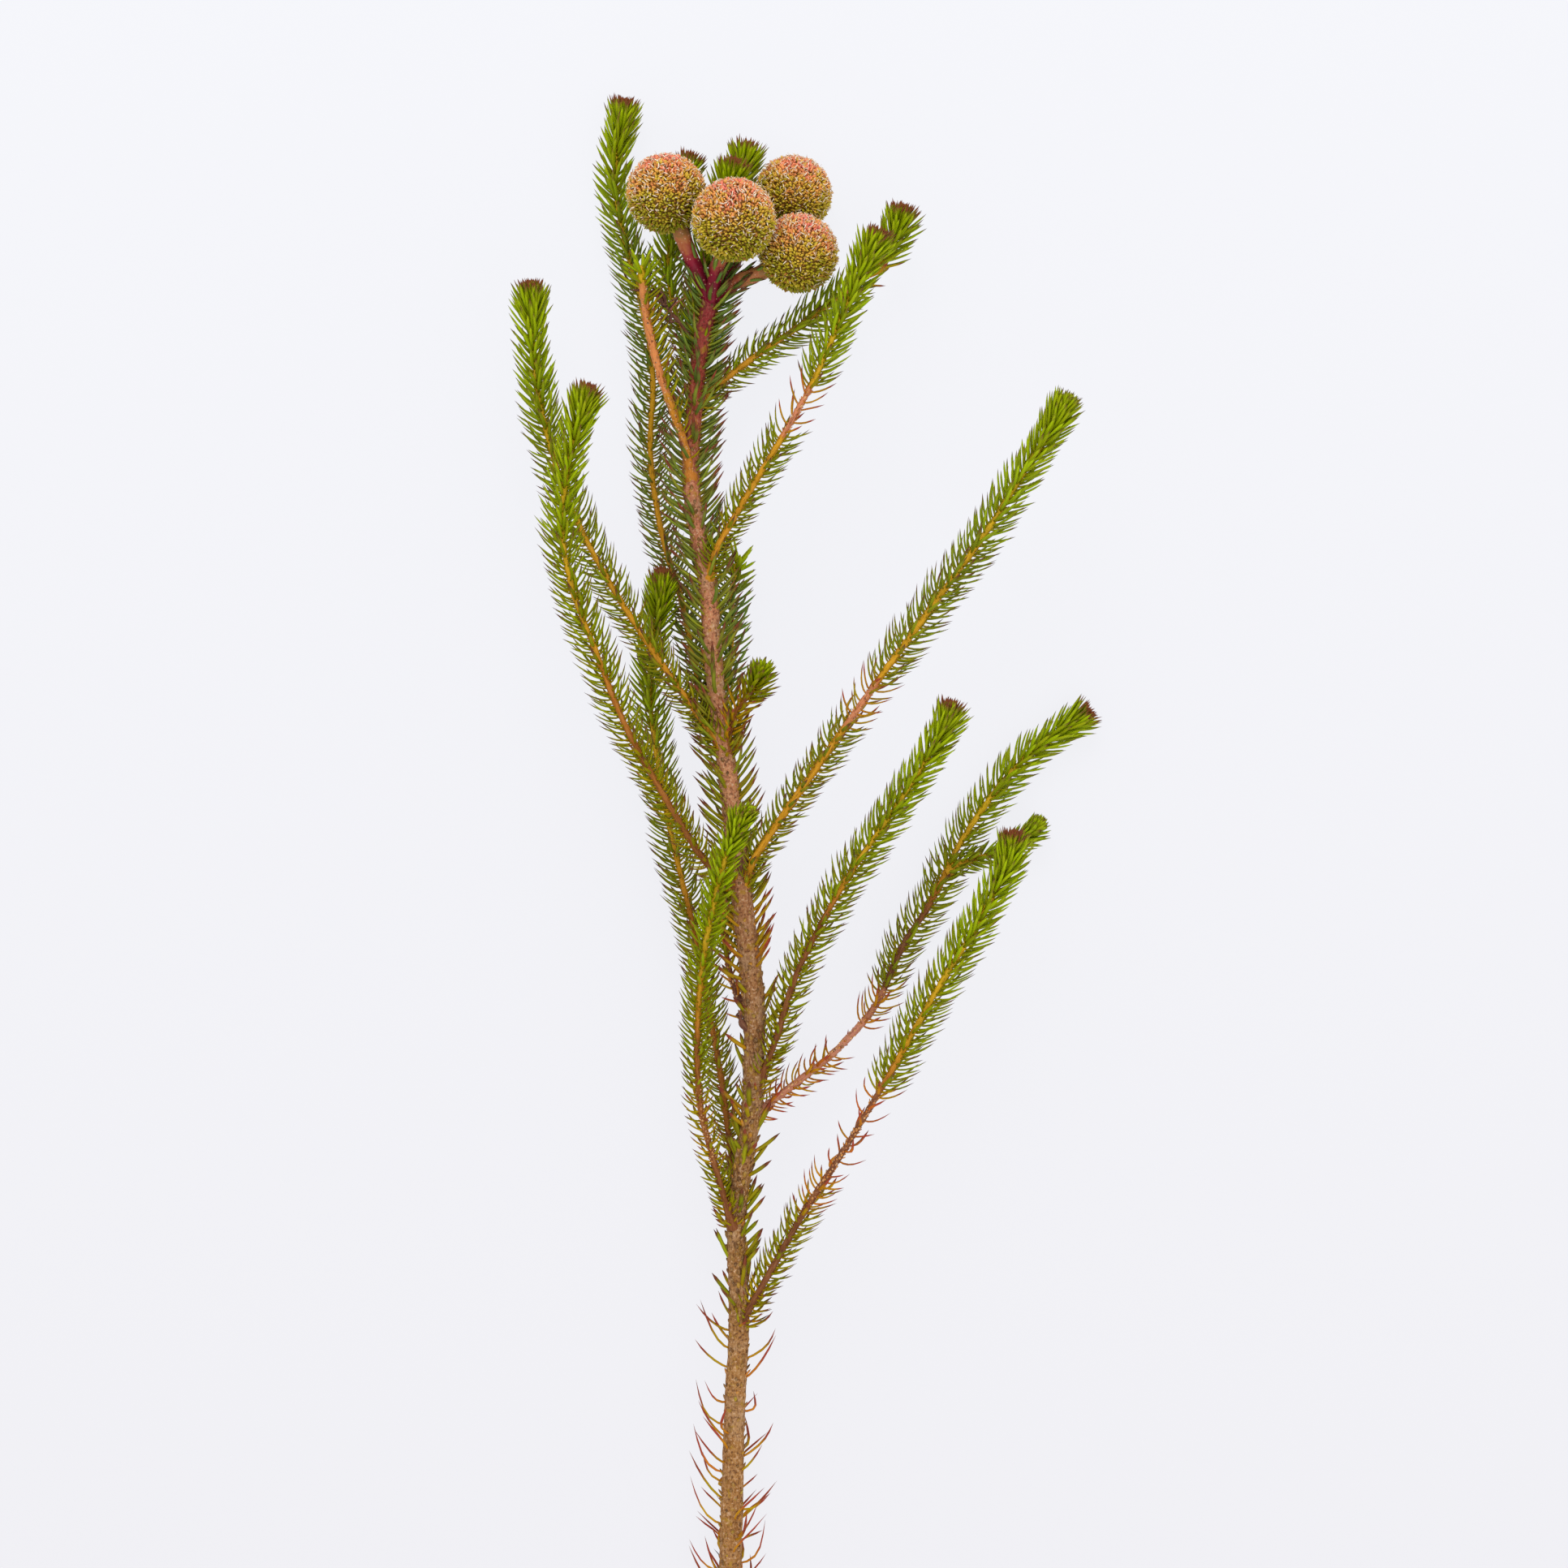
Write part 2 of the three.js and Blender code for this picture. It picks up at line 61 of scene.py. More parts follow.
def new_object(name, data):
    thing = bpy.data.objects.new(name, data)
    scene.collection.objects.link(thing)
    return thing


camera_data = bpy.data.cameras.new("camera")
camera_data.lens = camera_data.sensor_width * (CAMERA_HEIGHT - STEM_HEIGHT) / VIEW_WIDTH
camera_data.clip_start = 0.01
scene.camera = new_object("camera", camera_data)
scene.camera.location = (*VIEW_MIDDLE, CAMERA_HEIGHT)
scene.view_settings.view_transform = "Standard"


def free_socket(sockets, key):
    """The socket of that name, or at that place, among those that a node shows."""
    shown = [socket for socket in sockets if socket.enabled]
    return shown[key] if isinstance(key, int) else next(s for s in shown if s.name == key)


class Value:
    """What a node puts out, at its first output unless another is named. Sums, products and
    comparisons of values add the nodes that work them out."""

    def __init__(self, node, key=0):
        self.node = node
        self.tree = node.id_data
        self.key = key

    def __getitem__(self, key):
        return Value(self.node, key)

    def feeds(self, socket):
        self.tree.links.new(free_socket(self.node.outputs, self.key), socket)

    def __add__(self, other):
        return maths("ADD", self, other)

    def __sub__(self, other):
        return maths("SUBTRACT", self, other)

    def __rsub__(self, other):
        return maths("SUBTRACT", other, self)

    def __mul__(self, other):
        return maths("MULTIPLY", self, other)

    def __truediv__(self, other):
        return maths("DIVIDE", self, other)

    def __rtruediv__(self, other):
        return maths("DIVIDE", other, self)

    def __gt__(self, other):
        return maths("GREATER_THAN", self, other)

    def __lt__(self, other):
        return maths("LESS_THAN", self, other)


def add(tree, kind, inputs=(), **settings):
    """Adds a node. Its inputs go by name or by order, and each is a value, a number or a choice."""
    node = tree.nodes.new(kind)
    for name, setting in settings.items():
        setattr(node, name, setting)
    pairs = inputs.items() if isinstance(inputs, dict) else enumerate(inputs)
    for key, value in pairs:
        socket = free_socket(node.inputs, key)
        if isinstance(value, Value):
            value.feeds(socket)
        elif value is not None:
            socket.default_value = value
    return Value(node)


def tree_of(values):
    return next(value.tree for value in values if isinstance(value, Value))


def maths(operation, *values):
    return add(tree_of(values), "ShaderNodeMath", values, operation=operation)


def vectors(operation, *values):
    return add(tree_of(values), "ShaderNodeVectorMath", values, operation=operation)


def ranged(value, low, high, last=1.0, first=0.0):
    """A value between low and high, turned into one between first and last."""
    return add(value.tree, "ShaderNodeMapRange", [value, low, high, first, last])


def axes_of(vector):
    return add(vector.tree, "ShaderNodeSeparateXYZ", [vector])


def vector_of(*parts):
    return add(tree_of(parts), "ShaderNodeCombineXYZ", parts)


def noise(where, scale, detail=3.0, roughness=0.6):
    return add(where.tree, "ShaderNodeTexNoise",
               {"Vector": where, "Scale": scale, "Detail": detail, "Roughness": roughness})


def blended(factor, first, second):
    """Two colours mixed; a plain colour is given as three numbers."""
    first, second = ((*c, 1) if isinstance(c, tuple) else c for c in (first, second))
    return add(factor.tree, "ShaderNodeMix", {"Factor": factor, "A": first, "B": second}, data_type="RGBA")


def new_material(name, roughness, specular):
    """A material, the place on the object that its patterns read, and the inputs of its shader."""
    material = bpy.data.materials.new(name)
    material.use_nodes = True
    shader = next(n for n in material.node_tree.nodes if n.type == "BSDF_PRINCIPLED")
    shader.inputs["Roughness"].default_value = roughness
    shader.inputs["Specular IOR Level"].default_value = specular
    return material, add(material.node_tree, "ShaderNodeTexCoord")["Object"], shader.inputs


def bumped(shader, height, strength, distance):
    bump = add(height.tree, "ShaderNodeBump", {"Strength": strength, "Distance": distance, "Height": height})
    bump["Normal"].feeds(shader["Normal"])


def paper():
    """Paper that glows, as a sheet lit from behind does, so that shadows on it stay faint."""
    material, where, shader = new_material("studio_paper", 0.9, 0.1)
    glow = blended(ranged(axes_of(where)["Y"], -0.15, 0.3), (0.8, 0.795, 0.83), (0.845, 0.853, 0.89))
    shader["Base Color"].default_value = (0.055, 0.055, 0.057, 1)
    shader["Emission Strength"].default_value = 1.0
    glow.feeds(shader["Emission Color"])
    bumped(shader, noise(where, 900.0, 2.0, 0.5), 0.05, 0.0001)
    return material


sheet = bpy.data.meshes.new("studio_floor")
corners = [(x * PAPER_SIZE / 2, y * PAPER_SIZE / 2, 0) for x, y in ((-1, -1), (1, -1), (1, 1), (-1, 1))]
sheet.from_pydata(corners, [], [(0, 1, 2, 3)])
sheet.materials.append(paper())
floor = new_object("studio_floor", sheet)

world = bpy.data.worlds.new("studio")
world.use_nodes = True
background = world.node_tree.nodes["Background"].inputs
background["Color"].default_value = (0.985, 0.99, 1.0, 1)
background["Strength"].default_value = 0.95
scene.world = world


def softbox(name, size, place, power):
    """A square lamp, sized in metres and watts, aimed at the stem."""
    light = bpy.data.lights.new(name, "AREA")
    light.size = size
    light.energy = power
    lamp = new_object(name, light)
    lamp.location = place
    lamp.rotation_euler = (Vector(LIT_SPOT) - Vector(place)).to_track_quat("-Z", "Y").to_euler()


softbox("softbox_heads", 0.9, (-0.15, 1.1, 0.95), 9.0)
softbox("softbox_front", 1.2, (0.5, -0.5, 1.3), 5.0)


# The main stem: wood about 5 mm thick at the cut and 3.5 mm under the heads. Its bark is finely
# split along the grain and dotted with the scars of fallen leaves. It grew as one with the stalks
# and shoots, which leave it at small collars.

# Places along the middle of the stem, each with the stem's radius there.
STEM_ROUTE = [
    (-19, -202.5, 2.2, 2.45), (-18.5, -167.5, 4.2, 2.4), (-17.5, -127, 8, 2.35), (-16.5, -91.5, 12, 2.2),
    (-15.5, -69.5, 14, 2.1), (-16, -47.5, 16, 1.9), (-13, -26, 18, 1.95), (-12, -9.5, 19, 2.15),
    (-12.5, 4, 20.5, 2.2), (-15, 24.5, 22, 1.95), (-17.5, 47, 21.5, 1.7), (-20.5, 69.5, 21, 1.5),
    (-22.5, 92.5, 19.5, 1.45), (-26, 114.5, 17.5, 1.4), (-25.5, 130.5, 16.5, 1.35),
    (-24, 145, 16.5, 1.35), (-21.5, 157, 17, 1.4),
]
STEM_FOOT = STEM_ROUTE[0][1]
STEM_LENGTH = 0.365
# How much fuller than its wood the bark is, by the height above the middle of the branch.
BARK_FULLNESS = [(-200, 1.0), (-20, 1.0), (30, 1.12), (70, 1.28), (157, 1.26)]
GUIDE_STEP = 0.5 * MM
FLOOR_GAP = 0.05 * MM


def through(points):
    """Points along a centripetal Catmull-Rom curve through a route, half a millimetre apart."""
    knots = [Vector(p[:3]) * MM for p in points]
    knots = [2 * knots[0] - knots[1], *knots, 2 * knots[-1] - knots[-2]]
    line = []
    for a, b, c, d in zip(knots, knots[1:], knots[2:], knots[3:]):
        t0, t1, t2 = ((q - p).length ** 0.5 for p, q in ((a, b), (b, c), (c, d)))
        leave = t1 * ((b - a) / t0 - (c - a) / (t0 + t1) + (c - b) / t1)
        arrive = t1 * ((c - b) / t1 - (d - b) / (t1 + t2) + (d - c) / t2)
        steps = max(1, round((c - b).length / GUIDE_STEP))
        for i in range(steps):
            t = i / steps
            line.append(b + leave * t + (3 * (c - b) - 2 * leave - arrive) * t ** 2
                        + (2 * (b - c) + leave + arrive) * t ** 3)
    return line + [knots[-2]]


def between(stops, at):
    """The value at a place between listed stops of (place, value), level beyond the first and last."""
    if at <= stops[0][0]:
        return stops[0][1]
    for (low, first), (high, second) in pairwise(stops):
        if at <= high:
            return first + (second - first) * (at - low) / (high - low)
    return stops[-1][1]


def guide_line(name, line, values):
    """A line to grow a piece along. Each value is a number, or a function of the distances from the
    line's start and to its end in millimetres. The one called grown is given as needles in a
    millimetre and is stored as their running count."""
    runs = list(accumulate(((b - a).length for a, b in pairwise(line)), initial=0.0))
    mesh = bpy.data.meshes.new(name)
    mesh.from_pydata(line, list(pairwise(range(len(line)))), [])
    for label, value in values.items():
        along = [value(run / MM, (runs[-1] - run) / MM) if callable(value) else value for run in runs]
        if label == "grown":
            steps = [0.0] + [(b - a) / MM for a, b in pairwise(runs)]
            along = list(accumulate(each * step for each, step in zip(along, steps)))
        mesh.attributes.new(label, "FLOAT", "POINT").data.foreach_set("value", along)
    return new_object(name, mesh)


def grow(name, node, line, values, rule, sizes):
    """Runs a rule along a line and keeps what it makes as a plain mesh that rides on the root."""
    guide = guide_line(f"{name}_guide", line, values)
    modifier = guide.modifiers.new(name, "NODES")
    modifier.node_group = rule
    for socket in rule.interface.items_tree:
        if socket.name in sizes:
            modifier[socket.identifier] = sizes[socket.name]
    grown = guide.evaluated_get(bpy.context.evaluated_depsgraph_get())
    piece = new_object(name, bpy.data.meshes.new_from_object(grown))
    guide.modifiers.remove(modifier)
    bpy.data.objects.remove(guide)
    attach(piece, "root")
    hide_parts(node)


def growing_rule(name, sizes):
    """A Geometry Nodes tree whose named inputs are the sizes given, with its inputs and its output."""
    tree = bpy.data.node_groups.new(name, "GeometryNodeTree")
    tree.interface.new_socket("Geometry", in_out="INPUT", socket_type="NodeSocketGeometry")
    kinds = {float: "Float", int: "Int", tuple: "Vector", type(None): "Material"}
    for label, value in sizes.items():
        kind = f"NodeSocket{kinds[type(value)]}"
        socket = tree.interface.new_socket(label, in_out="INPUT", socket_type=kind)
        if value is not None:
            socket.default_value = value
    tree.interface.new_socket("Geometry", in_out="OUTPUT", socket_type="NodeSocketGeometry")
    return tree, add(tree, "NodeGroupInput"), add(tree, "NodeGroupOutput").node.inputs["Geometry"]


VECTOR = "FLOAT_VECTOR"


def named(tree, label, kind="FLOAT"):
    return add(tree, "GeometryNodeInputNamedAttribute", [label], data_type=kind)["Attribute"]


def store(geometry, label, value, kind="FLOAT"):
    return add(geometry.tree, "GeometryNodeStoreNamedAttribute",
               {"Geometry": geometry, "Name": label, "Value": value}, data_type=kind)


def moved(geometry, **where):
    """Moves each point by its Offset or to its Position."""
    return add(geometry.tree, "GeometryNodeSetPosition", {"Geometry": geometry, **where})


def above_floor(geometry):
    """Whatever would reach below the floor lies along it instead, and all faces are shaded smooth."""
    place = axes_of(add(geometry.tree, "GeometryNodeInputPosition"))
    height = maths("MAXIMUM", place["Z"], FLOOR_GAP)
    pressed = moved(geometry, Position=vector_of(place["X"], place["Y"], height))
    return add(geometry.tree, "GeometryNodeSetShadeSmooth", {"Geometry": pressed})


def realized(geometry):
    return add(geometry.tree, "GeometryNodeRealizeInstances", [geometry])


def finished(geometry, material):
    return add(geometry.tree, "GeometryNodeSetMaterial", {"Geometry": geometry, "Material": material})


def fibre_place(around, thickness, run, stretch):
    """A point's place on the bark, drawn out along the fibres."""
    return vectors("ADD", vectors("SCALE", around, thickness), vector_of(0.0, 0.0, run * stretch))


def bark_rule():
    """A tube along the guide, as thick as the guide says, with ridges and knobs that follow it."""
    tree, sizes, result = growing_rule("bark_tube", {
        "Sides": 12, "Ring Spacing": 0.6 * MM, "Ridge Height": 0.1 * MM, "Ridge Width": 0.6 * MM,
        "Ridge Stretch": 0.14, "Seed": 0, "Bark": None})
    line = add(tree, "GeometryNodeMeshToCurve", [sizes["Geometry"]])
    rings = add(tree, "GeometryNodeResampleCurve", {"Curve": line, "Length": sizes["Ring Spacing"]},
                mode="LENGTH")
    rings = store(rings, "run", add(tree, "GeometryNodeSplineParameter")["Length"])
    circle = add(tree, "GeometryNodeCurvePrimitiveCircle", {"Resolution": sizes["Sides"], "Radius": 1.0})
    circle = store(circle["Curve"], "round", add(tree, "GeometryNodeInputPosition"), VECTOR)
    thickness = named(tree, "thickness")
    tube = add(tree, "GeometryNodeCurveToMesh",
               {"Curve": rings, "Profile Curve": circle, "Scale": thickness, "Fill Caps": True})
    place = fibre_place(named(tree, "round", VECTOR), thickness, named(tree, "run"),
                        sizes["Ridge Stretch"])
    frequency = 1.0 / sizes["Ridge Width"]
    ridges = add(tree, "ShaderNodeTexNoise", {"Vector": place, "W": sizes["Seed"], "Scale": frequency,
                                              "Detail": 3.0, "Roughness": 0.6}, noise_dimensions="4D")
    knobs = add(tree, "ShaderNodeTexVoronoi", {"Vector": add(tree, "GeometryNodeInputPosition"),
                                               "Scale": frequency * 0.35})
    swell = (ridges - knobs["Distance"] * 0.5) * sizes["Ridge Height"]
    tube = moved(tube, Offset=vectors("SCALE", add(tree, "GeometryNodeInputNormal"), swell))
    finished(realized(above_floor(tube)), sizes["Bark"]).feeds(result)
    return tree


def colour_ramp(factor, stops):
    """A ramp of linear colours at places from 0 to 1."""
    ramp = add(factor.tree, "ShaderNodeValToRGB", [factor])
    elements = ramp.node.color_ramp.elements
    while len(elements) < len(stops):
        elements.new(1.0)
    for element, (place, colour) in zip(elements, stops):
        element.position = place
        element.color = (*colour, 1)
    return ramp["Color"]


def attribute(tree, label, output="Fac"):
    return add(tree, "ShaderNodeAttribute", attribute_name=label)[output]


def grain_group():
    """Wood fibres that run along a twig: light streaks, dark splits and their height."""
    tree = bpy.data.node_groups.new("bark_grain", "ShaderNodeTree")
    for label, value in {"Fibre Width": 0.0004, "Fibre Stretch": 0.12}.items():
        tree.interface.new_socket(label, in_out="INPUT", socket_type="NodeSocketFloat").default_value = value
    for label in ("Streaks", "Splits", "Height"):
        tree.interface.new_socket(label, in_out="OUTPUT", socket_type="NodeSocketFloat")
    sizes = add(tree, "NodeGroupInput")
    place = fibre_place(attribute(tree, "round", "Vector"), attribute(tree, "thickness"),
                        attribute(tree, "run"), sizes["Fibre Stretch"])
    frequency = 1.0 / sizes["Fibre Width"]
    fibres = noise(place, frequency, 5.0, 0.7)
    add(tree, "NodeGroupOutput", {
        "Streaks": ranged(fibres, 0.45, 0.7), "Splits": ranged(fibres, 0.46, 0.34),
        "Height": fibres + noise(place, frequency * 0.3, 2.0)})
    return tree


bark_grain = grain_group()


def bark_material():
    """Brown bark, greyer and pinker in patches, that turns red-brown and then crimson to the top."""
    material, where, shader = new_material("stem_bark", 0.75, 0.12)
    grain = add(where.tree, "ShaderNodeGroup", {"Fibre Width": 0.00045, "Fibre Stretch": 0.35},
                node_tree=bark_grain)
    height = ranged(attribute(where.tree, "run"), 0.0, STEM_LENGTH)
    woody = ranged(height, 0.85, 0.95, 0.2, 1.0)
    flakes = noise(where, 1500.0)
    brown = colour_ramp(height, [
        (0, (0.3, 0.12, 0.028)), (0.3, (0.32, 0.14, 0.036)), (0.5, (0.24, 0.1, 0.026)),
        (0.6, (0.3, 0.12, 0.045)), (0.7, (0.46, 0.18, 0.085)), (0.86, (0.43, 0.14, 0.07)),
        (0.93, (0.34, 0.05, 0.028)), (1, (0.2, 0.008, 0.025))])
    grey = blended(ranged(noise(where, 160.0), 0.5, 0.68, 0.6) * woody, brown, (0.4, 0.24, 0.13))
    streaked = blended(grain["Streaks"] * 0.45 * woody, grey, (0.62, 0.38, 0.17))
    split = blended(grain["Splits"] * 0.6, streaked, (0.06, 0.025, 0.012))
    flaked = blended(ranged(flakes, 0.55, 0.68, 0.65) * woody, split, (0.64, 0.43, 0.27))
    pitted = blended(ranged(flakes, 0.45, 0.32, 0.85), flaked, (0.08, 0.03, 0.016))
    mossy = blended(ranged(noise(where, 420.0, 2.0), 0.6, 0.7, 0.6), pitted, (0.36, 0.2, 0.012))
    mossy.feeds(shader["Base Color"])
    bumped(shader, grain["Height"], 0.9, 0.0004)
    return material


bark_tube = bark_rule()
stem_line = through(STEM_ROUTE)
stem_heights = [point.y / MM for point in stem_line]


def by_height(stops):
    """A value of the main stem, level or sloping between heights above the middle of the branch."""
    last = len(stem_heights) - 1
    return lambda run, rest: between(stops, stem_heights[round(run / (run + rest) * last)])


wood_thickness = by_height([(y, radius * MM) for _, y, _, radius in STEM_ROUTE])
STEM_BARK = {
    "thickness": lambda run, rest: wood_thickness(run, rest) * between(BARK_FULLNESS, run + STEM_FOOT)}
grow("main_stem_bark", "main_stem", stem_line, STEM_BARK, bark_tube, {
    "Sides": 36, "Ring Spacing": 0.36 * MM, "Ridge Height": 0.55 * MM, "Ridge Width": 0.8 * MM,
    "Bark": bark_material()})


# The leaves: green needles about 6 mm long, slim and four-sided, each with its foot in the twig.
# They stand all round in an even spiral and hook towards the tip. Young ones crowd into a brush at
# the tip with brown points, and old ones turn orange, red and curly before they fall.

GOLDEN_ANGLE = math.pi * (3 - math.sqrt(5))
# A needle's foot lies this share of the way from the middle of the twig to its surface.
FOOT_DEPTH = 0.7
# Needles that rise more steeply than this may be thinned for the twig to show.
LOOKS_UP = 0.78
# A curled needle swings aside as this much of a wave, in radians.
CURL_WAVE = 3.6
# How far to the right a needle has to face; this lets all of them stay.
EVERY_WAY = -2
PLAIN_NEEDLES = {"curl": 0.1, "teal": 0, "blush": 0, "side": EVERY_WAY, "front": 1}


def tapered_form(tree, sides, segments, half_widths):
    """A closed form that is 1 high and ends in a point, with its half width at heights from 0 to 1."""
    cone = add(tree, "GeometryNodeMeshCone", {"Vertices": sides, "Side Segments": segments,
                                              "Radius Top": 0.0, "Radius Bottom": 1.0, "Depth": 1.0})
    place = axes_of(add(tree, "GeometryNodeInputPosition"))
    outline = add(tree, "ShaderNodeFloatCurve", {"Value": place["Z"]})
    stops = outline.node.mapping.curves[0].points
    while len(stops) < len(half_widths):
        stops.new(0.5, 0.5)
    for stop, half_width in zip(stops, half_widths):
        stop.location = half_width
    outline.node.mapping.update()
    swell = outline / maths("MAXIMUM", 1.0 - place["Z"], 0.001)
    shaped = vector_of(place["X"] * swell, place["Y"] * swell, place["Z"])
    return moved(store(cone["Mesh"], "along", place["Z"]), Position=shaped)


def chance(seed, draw, low=0.0, high=1.0, kind="FLOAT"):
    """A random value for each point. Every draw in a rule has its own number beside the seed."""
    return add(seed.tree, "FunctionNodeRandomValue", {"Min": low, "Max": high, "Seed": seed + draw},
               data_type=kind)


def needle_rule():
    """Needles along the guide, which says how many there are, how each leans, reaches, hooks and
    curls, how old, teal and blushed it is, and which of them are missing."""
    tree, sizes, result = growing_rule("needle_leaves", {
        "Step": 0.03 * MM, "Needle Width": 0.72 * MM, "Needle Thickness": 0.42 * MM,
        "Turn Spread": 0.35, "Lean Spread": 7.0, "Length Spread": 0.16,
        "Seed": 0, "Leaf": None})
    seed = sizes["Seed"]
    line = add(tree, "GeometryNodeMeshToCurve", [sizes["Geometry"]])
    points = add(tree, "GeometryNodePoints", [add(tree, "GeometryNodeCurveLength", [line]) / sizes["Step"]])
    run = add(tree, "GeometryNodeInputIndex") * sizes["Step"]

    def sample(label, at=run):
        return add(tree, "GeometryNodeSampleCurve",
                   {"Curves": line, "Value": named(tree, label), "Length": at}, mode="LENGTH")

    number = maths("FLOOR", sample("grown"))
    before = maths("FLOOR", sample("grown", run - sizes["Step"]))
    centre = sample("thickness")
    tangent = centre["Tangent"]
    turn = number * GOLDEN_ANGLE + chance(seed, 1, -1.0, 1.0) * sizes["Turn Spread"]
    outward = add(tree, "ShaderNodeVectorRotate", {"Vector": centre["Normal"], "Angle": turn,
                                                   "Axis": tangent})
    lean = maths("RADIANS", sample("lean") + chance(seed, 2, -1.0, 1.0) * sizes["Lean Spread"])
    direction = vectors("ADD", vectors("SCALE", tangent, maths("COSINE", lean)),
                        vectors("SCALE", outward, maths("SINE", lean)))
    sideways = vectors("CROSS_PRODUCT", tangent, outward)
    reach = sample("reach") * (chance(seed, 3, -1.0, 1.0) * sizes["Length Spread"] + 1.0)
    foot = vectors("ADD", centre["Position"], vectors("SCALE", outward, centre * FOOT_DEPTH))
    points = store(moved(points, Position=foot), "axis", tangent, VECTOR)
    points = store(points, "sideways", sideways, VECTOR)
    for label, value in {
            "reach": reach, "hook": sample("hook") * chance(seed, 5, 0.7, 1.3),
            "curl": sample("curl") * chance(seed, 6, -1.0, 1.0), "teal": sample("teal"),
            "age": sample("age") + chance(seed, 4, -0.09, 0.09), "blush": sample("blush"),
            "tint": chance(seed, 7)}.items():
        points = store(points, label, value)

    half = sample("breadth") * 0.5
    scale = vector_of(sizes["Needle Width"] * half, sizes["Needle Thickness"] * half, reach)
    rotation = add(tree, "FunctionNodeAxesToRotation", [direction, sideways],
                   primary_axis="Z", secondary_axis="X")
    faced = axes_of(outward)
    thinned = (faced["Z"] > LOOKS_UP) * (chance(seed, 8) > sample("front"))
    stays = (faced["X"] > sample("side")) - thinned
    needles = realized(add(tree, "GeometryNodeInstanceOnPoints", {
        "Points": points, "Selection": (number - before) * (stays > 0.5),
        "Instance": tapered_form(tree, 4, 5, [(0, 0.7), (0.2, 0.95), (0.6, 1), (0.8, 0.86), (1, 0)]),
        "Rotation": rotation, "Scale": scale}))

    along = named(tree, "along")
    bent = named(tree, "hook") * maths("POWER", along, 2.0) * named(tree, "reach")
    swung = named(tree, "curl") * maths("SINE", along * CURL_WAVE) * named(tree, "reach")
    needles = moved(needles, Offset=vectors(
        "ADD", vectors("SCALE", named(tree, "axis", VECTOR), bent),
        vectors("SCALE", named(tree, "sideways", VECTOR), swung)))
    finished(above_floor(needles), sizes["Leaf"]).feeds(result)
    return tree


def leaf_material():
    """Fresh green that yellows with age, then turns orange, red and dark crimson."""
    material, where, shader = new_material("needle_leaf", 0.55, 0.06)
    own_age, teal, blush, tint, along = (
        attribute(where.tree, label) for label in ("age", "teal", "blush", "tint", "along"))
    age = noise(where, 250.0, 2.0) * 0.16 + (own_age - 0.08)
    green = colour_ramp(age, [
        (0, (0.36, 0.5, 0.001)), (0.2, (0.27, 0.345, 0.001)), (0.42, (0.215, 0.215, 0.001)),
        (0.56, (0.34, 0.24, 0.001)), (0.68, (0.52, 0.22, 0.004)), (0.8, (0.52, 0.11, 0.015)),
        (1, (0.2, 0.025, 0.04))])
    cool = blended(teal * 0.8, green, (0.05, 0.16, 0.05))
    darker = blended(ranged(tint, 0.5, 1.0, 0.35), cool, (0.12, 0.12, 0.002))
    paler = blended(ranged(tint, 0.4, 0.0, 0.35), darker, (0.38, 0.4, 0.008))
    brown = blended(blush, (0.11, 0.036, 0.02), (0.19, 0.05, 0.014))
    dry = blended(ranged(age, 0.5, 0.72), brown, (0.32, 0.05, 0.025))
    ripe = along + own_age * 0.4 + blush * 0.2 + tint * 0.12
    pointed = blended(ranged(ripe, 0.96, 1.14), paler, dry)
    golden = colour_ramp(age, [(0, (0.36, 0.36, 0.006)), (0.45, (0.48, 0.27, 0.006)),
                               (0.65, (0.62, 0.22, 0.01))])
    blended(ranged(along, 0.3, 0.0, 0.75), pointed, golden).feeds(shader["Base Color"])
    return material


needle_leaves = needle_rule()
LEAF_SIZES = {"Needle Width": 0.8 * MM, "Needle Thickness": 0.54 * MM, "Lean Spread": 6.0,
              "Turn Spread": 0.15, "Length Spread": 0.12, "Leaf": leaf_material()}


# The main stem's own leaves: long and dense under the heads, orange where they end above the middle,
# absent on the bare bark, larger and green again below it, then few, thin and curled to the cut.
# Small woody cushions of fallen leaves are left all along the bark.

STEM_LEAVES = {
    **PLAIN_NEEDLES,
    "thickness": wood_thickness,
    "grown": by_height([(4, 0), (9, 3.0), (28, 3.4), (60, 4.0), (105, 5.2), (125, 6.6)]),
    "lean": by_height([(-200, 80), (-74, 78), (-66, 36), (-12, 38), (2, 62), (12, 58), (30, 60), (90, 64),
                       (120, 72), (157, 74)]),
    "reach": by_height([(-74, 7.6 * MM), (-66, 6.4 * MM), (-12, 6.2 * MM), (20, 7 * MM), (100, 7.2 * MM),
                        (157, 6.6 * MM)]),
    "hook": by_height([(-200, 0.75), (-72, 0.7), (-66, 0.15), (-12, 0.2), (4, 0.34), (90, 0.36),
                       (157, 0.48)]),
    "curl": by_height([(-75, 0.45), (-66, 0.03), (157, 0.08)]),
    "age": by_height([(-200, 0.6), (-130, 0.68), (-80, 0.72), (-62, 0.45), (-20, 0.55), (8, 0.66), (19, 0.62),
                      (28, 0.47), (110, 0.51)]),
    "teal": by_height([(-200, 0), (40, 0.15), (70, 0.45), (110, 0.7), (157, 0.85)]),
    "blush": by_height([(-80, 0.8), (-60, 0.2), (157, 0)]),
    "breadth": by_height([(-200, 0.74), (-74, 0.7), (-66, 1.1), (-12, 1.2), (14, 1.2), (40, 1.1),
                          (157, 1.0)]),
    "front": by_height([(100, 0.3), (120, 0.38)]),
}
grow("main_stem_leaves", "main_stem", stem_line, STEM_LEAVES, needle_leaves, {
    **LEAF_SIZES, "Needle Width": 0.82 * MM, "Needle Thickness": 0.6 * MM, "Lean Spread": 8.0,
    "Turn Spread": 0.4})
